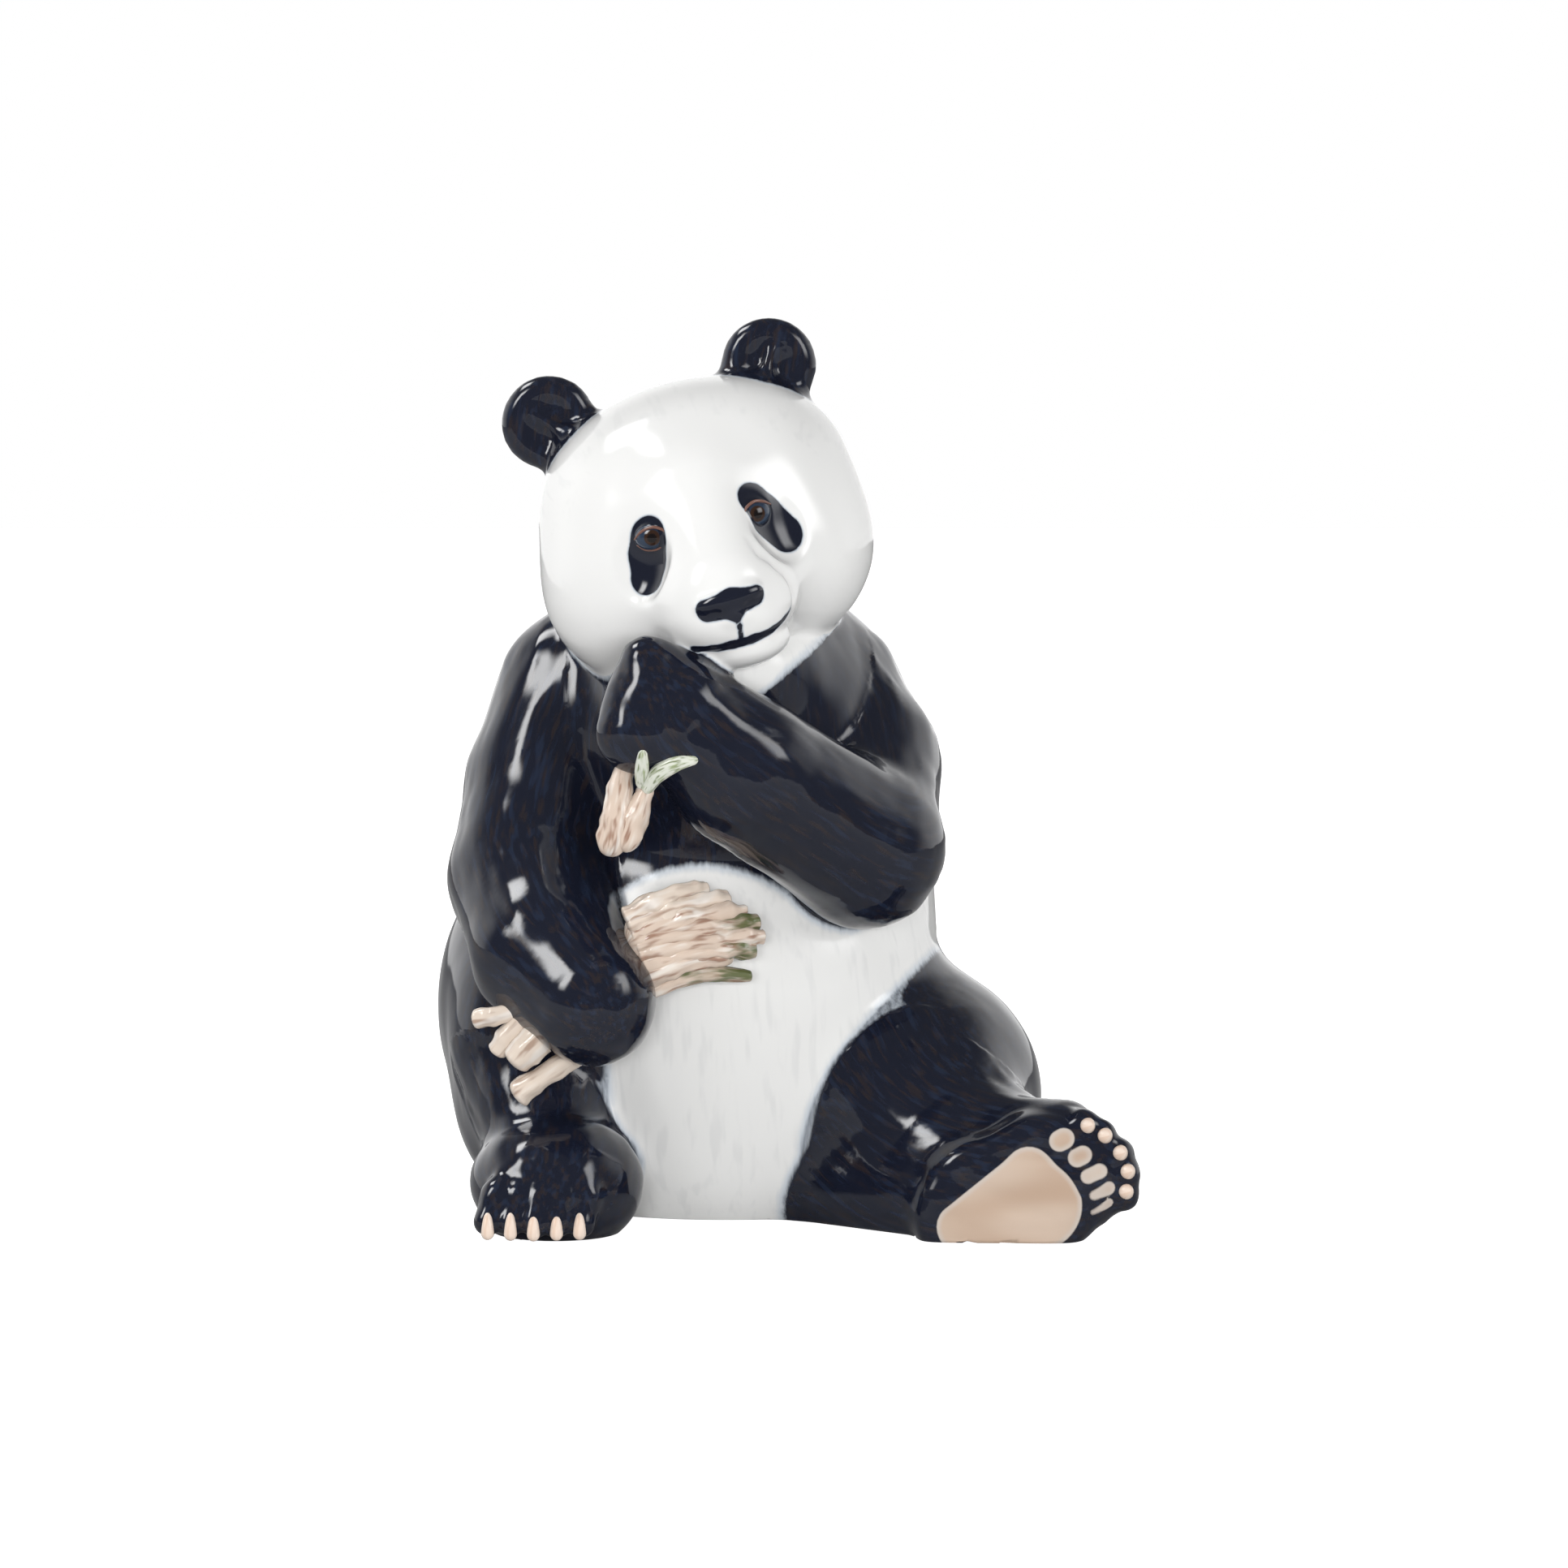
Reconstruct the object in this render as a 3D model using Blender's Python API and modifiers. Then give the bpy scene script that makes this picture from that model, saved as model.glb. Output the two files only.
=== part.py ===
"""A seated panda in glazed porcelain, one paw raised to its mouth, bamboo in both paws.

The figure is one slip-cast piece, so it is one closed solid on a flat base. It is built up the way a
modeller builds clay: ellipsoids and tapering limbs are laid over each other, fused into one skin, and the
skin is drawn onto the surface where neighbouring forms melt together. Every form is given in modeller's
millimetres, shares of the finished height, with x to the viewer's right, y away from the viewer and z up.
Left and right below are the viewer's.
"""
import math

import bmesh
import bpy
import numpy as np
from mathutils import Matrix, Vector

# Driving size, in metres, and the modeller's millimetre that every form is a share of.
HEIGHT = 0.180
MODEL_HEIGHT = 180.0
MM = HEIGHT / MODEL_HEIGHT

# Pose of the head in modeller's millimetres and degrees: tipped to the left, turned a little to the right.
HEAD_CENTRE = (-17.0, -8.0, 136.5)
HEAD_PITCH = 4.0
HEAD_YAW = 5.0
HEAD_ROLL = -14.0

# Middle of the figure's footprint, right and back, which stands on the origin.
FOOTPRINT_MIDDLE = (0.1, 5.2)

# Fineness of the clay skin, in modeller's millimetres, and of the finished solid, in triangles.
SKIN_CELL = 1.4
SOLID_TRIANGLES = 9400
RELAX_ROUNDS = 8
RELAX_STEP = 2.5
CLAY_BELOW_BASE = 3.0
SLOPE_PROBE = 0.15

# A form further than this from a point, in modeller's millimetres, has no part in the surface there.
FORM_REACH = 13.0

FIGURE_NAME = "panda_figurine"

GLAZES = {
    "white_glaze": ((0.86, 0.86, 0.84), 0.12),
    "navy_glaze": ((0.015, 0.019, 0.035), 0.10),
    "bamboo_glaze": ((0.66, 0.50, 0.38), 0.20),
}


def spin(axis, degrees):
    """Turn about one axis, x, y or z."""
    first, second = {"x": (1, 2), "y": (2, 0), "z": (0, 1)}[axis]
    cosine = math.cos(math.radians(degrees))
    sine = math.sin(math.radians(degrees))
    matrix = np.eye(3)
    matrix[first, first] = matrix[second, second] = cosine
    matrix[first, second] = -sine
    matrix[second, first] = sine
    return matrix


def turned(pitch, yaw, roll):
    """Turn about x by pitch, then about y by roll, then about z by yaw, in degrees."""
    return spin("z", yaw) @ spin("y", roll) @ spin("x", pitch)


HEAD_TURN = spin("y", HEAD_ROLL) @ spin("z", HEAD_YAW) @ spin("x", HEAD_PITCH)


def on_head(x, y, z):
    """Place of a point that is given from the centre of the skull, right, back and up."""
    return tuple(np.array(HEAD_CENTRE) + HEAD_TURN @ np.array((x, y, z), float))


def blend_min(a, b, width):
    """Smaller of two depths, rounded over where they differ by less than the width."""
    near = np.maximum(width - np.abs(a - b), 0.0) / width
    return np.minimum(a, b) - near * near * width / 4


def blend_max(a, b, width):
    """Larger of two depths, rounded over where they differ by less than the width."""
    return -blend_min(-a, -b, width)


def placed(centre, turn=None):
    """Blender's matrix for a form at a place in modeller's millimetres."""
    matrix = Matrix.Translation(Vector(centre) * MM)
    return matrix if turn is None else matrix @ Matrix(turn.tolist()).to_4x4()


class Ball:
    """An ellipsoid of clay, or a hollow pressed into the clay below it."""

    def __init__(self, centre, radii, turn=(0, 0, 0), blend=6.0, hollow=False, frame=None):
        self.hub = np.array(centre, float)
        self.radii = np.array(radii, float)
        self.reach = max(radii)
        self.blend = blend
        self.hollow = hollow
        self.turn = turned(*turn) if frame is None else frame @ turned(*turn)

    def depth(self, points):
        """Distance from the ellipsoid's surface, negative inside it."""
        local = (points - self.hub) @ self.turn
        scaled = np.sqrt(((local / self.radii) ** 2).sum(1))
        steep = np.sqrt(((local / self.radii**2) ** 2).sum(1))
        return scaled * (scaled - 1) / np.maximum(steep, 1e-6)

    def lay(self, clay):
        """Add the ellipsoid to the clay."""
        if not self.hollow:
            size = Matrix.Diagonal((*self.radii, 1.0))
            matrix = placed(self.hub, self.turn) @ size
            bmesh.ops.create_uvsphere(clay, u_segments=28, v_segments=18, radius=MM, matrix=matrix)


class Limb:
    """A tapering, rounded roll of clay through points (x, y, z, radius)."""

    knee = 2.0

    def __init__(self, points, blend=4.0):
        self.points = np.array(points, float)
        self.blend = blend
        self.hollow = False
        self.hub = self.points[:, :3].mean(0)
        self.reach = (np.linalg.norm(self.points[:, :3] - self.hub, axis=1) + self.points[:, 3]).max()

    def depth(self, points):
        """Distance from the roll's surface, negative inside it."""
        nearest = None
        for start, end in zip(self.points[:-1], self.points[1:]):
            run = end[:3] - start[:3]
            share = np.clip(((points - start[:3]) @ run) / (run @ run), 0, 1)
            offset = points - start[:3] - share[:, None] * run
            shell = np.sqrt((offset**2).sum(1)) - start[3] - share * (end[3] - start[3])
            nearest = shell if nearest is None else blend_min(nearest, shell, self.knee)
        return nearest

    def lay(self, clay):
        """Add the roll to the clay, as a ball at each point and a cone between them."""
        for point in self.points:
            radius = point[3] * MM
            bmesh.ops.create_uvsphere(clay, u_segments=20, v_segments=12, radius=radius, matrix=placed(point[:3]))
        for start, end in zip(self.points[:-1], self.points[1:]):
            run = Vector(end[:3] - start[:3])
            matrix = placed((start[:3] + end[:3]) / 2) @ run.to_track_quat("Z", "Y").to_matrix().to_4x4()
            bmesh.ops.create_cone(
                clay,
                cap_ends=True,
                segments=20,
                radius1=start[3] * MM,
                radius2=end[3] * MM,
                depth=run.length * MM,
                matrix=matrix,
            )


class Slice:
    """A plane that planes off the clay in front of it, such as the sole of a foot."""

    def __init__(self, point, facing, blend=3.0):
        self.point = np.array(point, float)
        self.facing = np.array(facing, float) / np.linalg.norm(facing)
        self.blend = blend

    def depth(self, points):
        """Height over the plane."""
        return (points - self.point) @ self.facing

    def lay(self, clay):
        """A slice adds no clay."""


def head_ball(centre, radii, turn=(0, 0, 0), blend=6.0, hollow=False):
    """A ball placed and turned with the head."""
    return Ball(on_head(*centre), radii, turn, blend, hollow, HEAD_TURN)


def torso():
    """Sitting body: seat, belly, back, chest and shoulders, haunches and a short tail."""
    return [
        Ball((-11, 22, 22), (47, 40, 34)),
        Ball((-12, 14, 20), (42, 34, 32), blend=12),
        Ball((-13, 8, 48), (43, 36, 36), blend=12),
        Ball((-14, 26, 66), (44, 34, 44), blend=12),
        Ball((-16, 14, 94), (36, 30, 32), blend=12),
        Ball((-38, 10, 100), (17, 19, 20), blend=10),
        Ball((6, 10, 100), (17, 19, 20), blend=10),
        Ball((-16, 4, 118), (26, 22, 14), blend=8),
        Ball((-10, -8, 98), (26, 21, 24), blend=12),
        Ball((-14, -18, 112), (19, 16, 11), blend=8),
        Ball((-48, 12, 40), (22, 34, 32), blend=8),
        Ball((-50, -8, 42), (14, 14, 14), blend=6),
        Ball((-48, 0, 20), (17.5, 22, 18), blend=6),
        Ball((27, 8, 22), (25, 32, 26), blend=8),
        Ball((-12, 60, 15), (8, 7, 8), blend=5),
    ]


def left_leg():
    """Shin and foot set flat on the ground, with five toes and claws in a row."""
    forms = [
        Limb([(-52, -9, 33, 13.5), (-48, -19, 20, 12)], blend=5),
        Ball((-45, -28, 9.5), (17, 17.5, 14), blend=3),
    ]
    for step in range(-2, 3):
        root = (-45.5 + 3.7 * step, -38, 14 - 0.5 * abs(step), 3.2)
        knuckle = (-47.5 + 4.3 * step, -43.2 + 0.7 * abs(step), 9, 3.1)
        tip = (-49 + 4.5 * step, -45.6 + 0.8 * abs(step), 4.4, 2.9)
        forms.append(Limb([root, knuckle, tip], blend=1))
    for step in range(-2, 3):
        root = (-49 + 4.5 * step, -47.8 + 0.8 * abs(step), 5, 1.1)
        tip = (-49 + 4.5 * step, -48.4 + 0.8 * abs(step), 2, 1.1)
        forms.append(Limb([root, tip], blend=0.5))
    return forms


def right_leg():
    """Thigh laid outward and a foot on its heel, its sole to the viewer and five toes at its far end."""
    forms = [
        Limb([(24, -8, 22, 21), (34, -20, 15, 16)], blend=6),
        Limb([(36, -16, 17, 12.5), (55, -27, 13.5, 9.5)], blend=5),
        Limb([(12, -8, 8, 14), (36, -31, 8, 12)], blend=5),
        Limb([(40, -38.5, 9.2, 10.9), (50, -38, 12.6, 11.8), (56, -37.5, 13.4, 10.4)], blend=4),
        Limb([(44, -28, 19, 7.5), (55, -33, 20, 6.8)], blend=4),
        Limb([(33, -38, 3, 7), (52, -38, 3, 7)], blend=4),
        Limb([(50, -38, 4, 7), (59.5, -37.5, 8.6, 6.6)], blend=3),
        Slice((47, -43.6, 10), (-0.06, -1, 0.03), blend=2.6),
    ]
    toes = ((58.6, 22.4), (62.0, 20.4), (65.0, 17.0), (66.5, 13.3), (66.2, 9.3))
    for x, z in toes:
        forms.append(Limb([(x - 4, -35, z - 1.5, 4), (x, -39.6, z, 3.6)], blend=1.2))
    for x, z in toes:
        forms.append(Limb([(x + 0.4, -41.6, z + 0.5, 1.2), (x + 1.4, -43.6, z + 1, 1.3)], blend=0.5))
    return forms


def left_arm():
    """Arm hanging from the shoulder, bent at the elbow, its paw on the bamboo over the belly."""
    bend = [
        (-41, 8, 104, 16.5),
        (-47.5, 1, 86, 16),
        (-50.5, -10, 68, 16.2),
        (-46.5, -26, 55.5, 15.2),
        (-37.5, -38, 47, 12.5),
    ]
    return [Limb(bend)]


def right_arm():
    """Arm folded back up at the elbow, its paw held to the mouth."""
    return [
        Limb([(6, 8, 103, 17), (13.5, -2, 90, 17.5), (15.5, -20, 76, 15.5)]),
        Limb([(15.5, -24, 76, 15.5), (-8, -40, 93, 14.3), (-20, -44, 104, 12)]),
        Limb([(-26.5, -47, 114.4, 5.5), (-28.8, -48, 101.6, 8)], blend=6),
    ]


def head():
    """Broad skull, cheeks, muzzle over the lower jaw, eye hollows with their eyes, and the nose."""
    bridge_top = (*on_head(0, -18, 9), 10.5)
    bridge_end = (*on_head(0, -33.5, -5), 8)
    return [
        head_ball((0.8, 0, 0), (31.5, 28, 28)),
        head_ball((2, 4, 10.5), (29.5, 24, 19), blend=8),
        head_ball((-15, -4.5, -7.5), (17, 19, 16.5), blend=8),
        head_ball((15.2, -3, -6), (17.2, 19, 17), blend=8),
        head_ball((0.3, -23, -8.5), (15.5, 18, 12), blend=8),
        head_ball((0.4, -33, -11.5), (11.5, 10.8, 7.6), blend=5),
        Limb([bridge_top, bridge_end], blend=7),
        head_ball((1.6, -30, -18.6), (9.5, 10.2, 4.6), blend=1.2),
        head_ball((-14.2, -29.4, 3.4), (7.0, 4.4, 9.2), turn=(0, -44, 14), blend=2.5, hollow=True),
        head_ball((14.8, -30.1, 3.6), (7.0, 4.4, 9.4), turn=(0, 42, -16), blend=2.5, hollow=True),
        head_ball((-10.6, -26.2, 5.7), (3.3, 2.3, 2.5), turn=(0, -34, 0), blend=0.8),
        head_ball((10.1, -27.3, 5.3), (3.3, 2.3, 2.5), turn=(0, 32, 0), blend=0.8),
        head_ball((0.4, -42.0, -7.4), (7.0, 3.6, 2.6), turn=(0, 0, -4), blend=1),
        head_ball((0.5, -42.6, -10.2), (3.8, 2.5, 3.2), blend=0.9),
    ]


def ears():
    """Two round ears, each a disc pressed hollow in front, with a fold that runs down to its root."""
    forms = []
    discs = (((-47, 0, 158.6), -40), ((-3, 0, 170.2), 8))
    for centre, lean in discs:
        forms.append(Ball(centre, (9.4, 4.6, 9.2), turn=(0, 0, lean), blend=1))
    for (x, y, z), lean in discs:
        forms.append(Ball((x, y - 5.2, z), (6.4, 3.6, 6.6), turn=(0, 0, lean), blend=2, hollow=True))
    forms += [
        Limb([(-50, -3.0, 160.6, 0.8), (-43.5, -3.4, 156.6, 1.2), (-40, -4, 154.6, 1.6)], blend=1.2),
        Limb([(-2.4, -3.0, 173.6, 0.8), (-4.0, -3.4, 167.5, 1.2), (-4.8, -4, 163, 1.6)], blend=1.2),
        Ball((-40.5, 2, 153), (6, 5, 5), blend=4),
        Ball((-5, 2, 161.5), (7, 5, 4.5), blend=4),
    ]
    return forms


def sprig():
    """Short knotted stalk below the raised paw, with two leaves curling out of its top."""
    return [
        Limb([(-30.6, -47.6, 95, 2), (-31.8, -48.6, 90.4, 2.3), (-32.8, -49, 84.6, 2.9), (-33.8, -49, 79, 3.2)]),
        Limb([(-26.2, -49, 90.8, 1.8), (-27.9, -49.4, 86, 2.1), (-30.8, -49.4, 80, 2.6)], blend=0.8),
        Limb([(-27.8, -50.6, 91, 1.3), (-27.5, -53.6, 94.6, 1.4), (-27.2, -55.4, 97.8, 1.1)], blend=0.5),
        Limb([(-27, -50.8, 90.4, 1.4), (-24.2, -53.6, 93.8, 1.6), (-20.6, -55, 95.8, 1.4)], blend=0.5),
        Limb([(-20.6, -55, 95.8, 1.4), (-17.2, -55.2, 96.4, 1)], blend=0.5),
    ]


def bundle():
    """Bundle of cut bamboo held to the belly: stalks fanning right, and the knotted butts left of the paw."""
    tips = (
        (-15, -29, 68.4, 1.8),
        (-10.6, -29.6, 66.4, 2),
        (-7.2, -31.2, 64.4, 1.9),
        (-4.8, -32.2, 62, 2),
        (-4, -33, 59.4, 2),
        (-5.6, -33.2, 57.2, 1.9),
        (-10, -33.4, 55.8, 1.9),
    )
    grip_top = np.array((-31.5, -34, 63))
    grip_foot = np.array((-27, -36.5, 51.5))
    forms = [Limb([(-31, -33, 57, 5.5), (-20, -31, 60, 5), (-9, -29.5, 60, 3.2)], blend=1)]
    for row, (x, y, z, radius) in enumerate(tips):
        held = grip_top + (grip_foot - grip_top) * row / (len(tips) - 1)
        crown = (held + (x, y, z)) / 2 + (0, -1.8, 1.2)
        forms.append(Limb([(*held, 2.5), (*crown, 2.2), (x, y, z, radius)], blend=0.6))
    forms += [
        Limb([(-30, -35, 47.5, 2), (-17, -34.9, 52, 1.9), (-7, -33.6, 51.6, 1.5)], blend=0.6),
        Limb([(-44, -35, 43, 3.8), (-50, -36, 37.8, 3.6), (-53.4, -36, 34.2, 3.1)], blend=0.8),
        Limb([(-49, -34, 45, 2.4), (-54, -34, 40, 2.3), (-57, -33.4, 36, 2.3)], blend=0.8),
        Limb([(-40, -34, 36.6, 2.6), (-47.4, -35.4, 31.8, 2.4), (-53.2, -35.4, 28, 2.9)], blend=0.8),
        Limb([(-47, -34.5, 45.8, 2), (-61, -33, 42.6, 2)], blend=0.8),
    ]
    return forms


# Each member with the width over which it melts into what is below it, and its glaze.
MEMBERS = (
    (torso(), 0.0, "white_glaze"),
    (left_leg(), 5.0, "navy_glaze"),
    (right_leg(), 6.0, "navy_glaze"),
    (left_arm(), 2.0, "navy_glaze"),
    (right_arm(), 2.0, "navy_glaze"),
    (head(), 2.0, "white_glaze"),
    (ears(), 4.0, "navy_glaze"),
    (sprig(), 1.0, "bamboo_glaze"),
    (bundle(), 1.5, "bamboo_glaze"),
)


def near_depth(form, points):
    """A form's own depth close to it, and that of the sphere around it further off."""
    if isinstance(form, Slice):
        return form.depth(points)
    depth = np.linalg.norm(points - form.hub, axis=1) - form.reach
    close = depth < FORM_REACH
    depth[close] = form.depth(points[close])
    return depth


def member_depth(forms, points):
    """Depth of one member: its balls and limbs melted together, its hollows and slices taken out."""
    depth = near_depth(forms[0], points)
    for form in forms[1:]:
        own = near_depth(form, points)
        if isinstance(form, Slice):
            depth = blend_max(depth, own, form.blend)
        elif form.hollow:
            depth = blend_max(depth, -own, form.blend)
        else:
            depth = blend_min(depth, own, form.blend)
    return depth


def figure_depth(points):
    """Depth of the whole figure, with the clay below the base planed off."""
    depth = None
    for forms, blend, _ in MEMBERS:
        own = member_depth(forms, points)
        depth = own if depth is None else blend_min(depth, own, blend)
    return blend_max(depth, -points[:, 2] - CLAY_BELOW_BASE, 1.0)


def figure_slope(points):
    """Depth and its unit slope, from four probes around each point."""
    slope = np.zeros_like(points)
    depth = np.zeros(len(points))
    for corner in ((1, -1, -1), (-1, -1, 1), (-1, 1, -1), (1, 1, 1)):
        way = np.array(corner, float)
        probe = figure_depth(points + way * SLOPE_PROBE)
        slope += way * probe[:, None]
        depth += probe / 4
    return depth, slope / np.maximum(np.linalg.norm(slope, axis=1, keepdims=True), 1e-9)


def new_collection(name):
    """Collection linked to the scene."""
    collection = bpy.data.collections.new(name)
    bpy.context.scene.collection.children.link(collection)
    return collection


def glaze(name):
    """Glazed finish with its colour and roughness."""
    colour, roughness = GLAZES[name]
    material = bpy.data.materials.new(name)
    material.use_nodes = True
    shader = material.node_tree.nodes["Principled BSDF"]
    shader.inputs["Base Color"].default_value = (*colour, 1.0)
    shader.inputs["Roughness"].default_value = roughness
    shader.inputs["Metallic"].default_value = 0.0
    return material


def fused_skin(collection):
    """Lay every form, fuse them into one skin of even cells and return it as a mesh."""
    mesh = bpy.data.meshes.new("clay")
    clay = bmesh.new()
    for form in (form for forms, _, _ in MEMBERS for form in forms):
        lump = bmesh.new()
        form.lay(lump)
        lump.to_mesh(mesh)
        lump.free()
        clay.from_mesh(mesh)
    clay.to_mesh(mesh)
    clay.free()
    heap = bpy.data.objects.new("clay", mesh)
    collection.objects.link(heap)
    remesh = heap.modifiers.new("fuse", "REMESH")
    remesh.mode = "VOXEL"
    remesh.voxel_size = SKIN_CELL * MM
    evaluated = heap.evaluated_get(bpy.context.evaluated_depsgraph_get())
    skin = bpy.data.meshes.new_from_object(evaluated)
    bpy.data.objects.remove(heap)
    return skin


def relaxed(skin):
    """Draw the skin onto the melted surface, evening out its cells between the pulls."""
    count = len(skin.vertices)
    flat = np.empty(count * 3)
    skin.vertices.foreach_get("co", flat)
    points = flat.reshape(-1, 3) / MM
    ends = np.empty(len(skin.edges) * 2, int)
    skin.edges.foreach_get("vertices", ends)
    first, second = ends.reshape(-1, 2).T
    neighbours = np.bincount(ends, minlength=count)
    for _ in range(RELAX_ROUNDS):
        depth, slope = figure_slope(points)
        middle = np.stack(
            [
                np.bincount(first, points[second, axis], count) + np.bincount(second, points[first, axis], count)
                for axis in range(3)
            ],
            axis=1,
        )
        drift = middle / neighbours[:, None] - points
        drift -= (drift * slope).sum(1, keepdims=True) * slope
        pull = np.clip(depth, -RELAX_STEP, RELAX_STEP)
        points = points + drift / 2 - pull[:, None] * slope
    standing = points - np.array((*FOOTPRINT_MIDDLE, 0.0))
    skin.vertices.foreach_set("co", (standing * MM).ravel())
    skin.update()
    return points


def paint(mesh, points):
    """Give each face the glaze of the member whose surface lies nearest to it."""
    for name in GLAZES:
        mesh.materials.append(glaze(name))
    slots = list(GLAZES)
    nearest = np.argmin([member_depth(forms, points) for forms, _, _ in MEMBERS], axis=0)
    member_slots = np.array([slots.index(name) for _, _, name in MEMBERS])
    first_corner = np.empty(len(mesh.polygons), int)
    mesh.polygons.foreach_get("loop_start", first_corner)
    corner_points = np.empty(len(mesh.loops), int)
    mesh.loops.foreach_get("vertex_index", corner_points)
    mesh.polygons.foreach_set("material_index", member_slots[nearest][corner_points[first_corner]])


def base_cutter(collection):
    """Block whose top is the ground, which planes the underside flat."""
    bpy.ops.mesh.primitive_cube_add(size=2 * HEIGHT, location=(0, 0, -HEIGHT))
    cutter = bpy.context.active_object
    cutter.name = "base_plane"
    for owner in cutter.users_collection:
        owner.objects.unlink(cutter)
    collection.objects.link(cutter)
    cutter.hide_render = True
    cutter.display_type = "WIRE"
    return cutter


def main():
    for old in list(bpy.data.objects):
        bpy.data.objects.remove(old)
    figure_collection = new_collection(FIGURE_NAME)
    cutter_collection = new_collection("cutters")

    skin = fused_skin(figure_collection)
    points = relaxed(skin)
    paint(skin, points)
    skin.name = FIGURE_NAME
    figure = bpy.data.objects.new(FIGURE_NAME, skin)
    figure_collection.objects.link(figure)

    triangulate = figure.modifiers.new("triangles", "TRIANGULATE")
    triangulate.min_vertices = 4
    decimate = figure.modifiers.new("facets", "DECIMATE")
    decimate.ratio = SOLID_TRIANGLES / (2 * len(skin.polygons))
    plane = figure.modifiers.new("base", "BOOLEAN")
    plane.operation = "DIFFERENCE"
    plane.solver = "EXACT"
    plane.object = base_cutter(cutter_collection)


main()
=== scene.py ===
"""Looks of a seated panda in glazed porcelain, with bamboo in both paws, on a white studio table.

The skin is one closed surface with the solid's form. The same ellipsoids and tapering limbs are laid as
grids, fused, refined on the face and the paws, and drawn onto the surface where neighbouring forms melt
together. Eyes, lids, claws and bamboo are finer pieces set on that surface. Lengths are in modeller's
millimetres until they go into a mesh, with x to the viewer's right, y away from the viewer and z up.
Left and right are the viewer's. Paint is kept as distances on the skin: below zero is inside the paint.
"""

import logging
import math
from dataclasses import dataclass, field
from enum import Enum

import bmesh
import bpy
import numpy as np
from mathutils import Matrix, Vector


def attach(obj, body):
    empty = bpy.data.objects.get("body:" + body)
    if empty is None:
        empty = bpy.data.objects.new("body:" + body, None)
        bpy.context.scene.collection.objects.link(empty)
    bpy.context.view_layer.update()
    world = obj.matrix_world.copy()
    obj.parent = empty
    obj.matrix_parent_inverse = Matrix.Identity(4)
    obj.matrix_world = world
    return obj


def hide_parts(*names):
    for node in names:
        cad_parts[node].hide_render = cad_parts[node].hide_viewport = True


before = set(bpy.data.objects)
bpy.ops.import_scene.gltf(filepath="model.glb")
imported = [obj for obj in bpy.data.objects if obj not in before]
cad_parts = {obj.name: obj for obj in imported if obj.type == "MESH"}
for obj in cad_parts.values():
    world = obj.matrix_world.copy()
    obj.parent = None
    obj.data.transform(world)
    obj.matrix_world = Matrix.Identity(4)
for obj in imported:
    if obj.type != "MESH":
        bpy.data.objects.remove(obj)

Array = np.ndarray
Point = tuple[float, float, float]
Pair = tuple[float, float]
Station = tuple[float, float, float, float]
Faces = list[tuple[int, ...]]
Grid = tuple[Array, Faces]
Output = bpy.types.NodeSocket
Value = bpy.types.NodeSocket | float | Point

log = logging.getLogger("panda")

NODE = "panda_figurine"
BODY = "root"

# Height of the figure in metres and in modeller's millimetres, and the middle of its footprint.
HEIGHT = 0.180
MODEL_HEIGHT = 180.0
MM = HEIGHT / MODEL_HEIGHT
FOOTPRINT_MIDDLE = (0.1, 5.2, 0.0)

# Pose of the head in millimetres and degrees: tipped to the left, turned a little to the right.
HEAD_CENTRE = (-17.0, -8.0, 136.5)
HEAD_PITCH = 4.0
HEAD_YAW = 5.0
HEAD_ROLL = -14.0

# A form further than this from a point has no part in the surface there, in millimetres.
FORM_REACH = 13.0

# A point of the skin lower than this stands on the table, in millimetres.
GROUNDED = 1e-3

# A way that no limb runs along. The first way across a path is square to it.
ASKEW = (0.31, 0.87, 0.38)

# Primes that hash the coordinates of a corner of the noise lattice, its seed and its mixed bits.
CORNER_PRIMES = (73856093, 19349663, 83492791)
SEED_PRIME = 2654435761
MIX_PRIME = 1274126177

# Even stations that a limb's middle line is cut into for its brush coordinates.
STROKE_STATIONS = 40

# How far the noise fields of rolls with neighbouring seeds lie apart.
GROOVE_SHIFT = 7.3
LUMP_SHIFT = 3.1
GRAIN_SHIFT = 11.3
LUMP_SEED = 50

# Names of the values that the skin and the small pieces carry for their finishes.
GRAIN = "grain"
PAINT = "paint"
SOFTNESS = "softness"
PAD = "pad"
IRIS = "iris"
RUN = "run"


def spin(axis: str, degrees: float) -> Array:
    """Turn about one axis.

    Args:
        axis: x, y or z.
        degrees: angle of the turn.

    Returns:
        Rotation matrix, 3 by 3.
    """
    first, second = {"x": (1, 2), "y": (2, 0), "z": (0, 1)}[axis]
    cosine = math.cos(math.radians(degrees))
    sine = math.sin(math.radians(degrees))
    matrix = np.eye(3)
    matrix[first, first] = matrix[second, second] = cosine
    matrix[first, second] = -sine
    matrix[second, first] = sine
    return matrix


def turned(pitch: float, yaw: float, roll: float) -> Array:
    """Turn about x by pitch, then about y by roll, then about z by yaw, in degrees."""
    return spin("z", yaw) @ spin("y", roll) @ spin("x", pitch)


HEAD_TURN = spin("y", HEAD_ROLL) @ spin("z", HEAD_YAW) @ spin("x", HEAD_PITCH)


def on_head(x: float, y: float, z: float) -> Point:
    """Place of a point that is given from the centre of the skull, right, back and up."""
    return tuple(np.array(HEAD_CENTRE) + HEAD_TURN @ np.array((x, y, z), float))


def head_stations(points: tuple[Station, ...]) -> list[Station]:
    """Stations (x, y, z, radius) of a roll that are given from the centre of the skull."""
    return [(*on_head(x, y, z), radius) for x, y, z, radius in points]


def unit(vectors: Array) -> Array:
    """Vectors brought to length one along their last axis."""
    return vectors / np.maximum(np.linalg.norm(vectors, axis=-1, keepdims=True), 1e-9)


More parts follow.
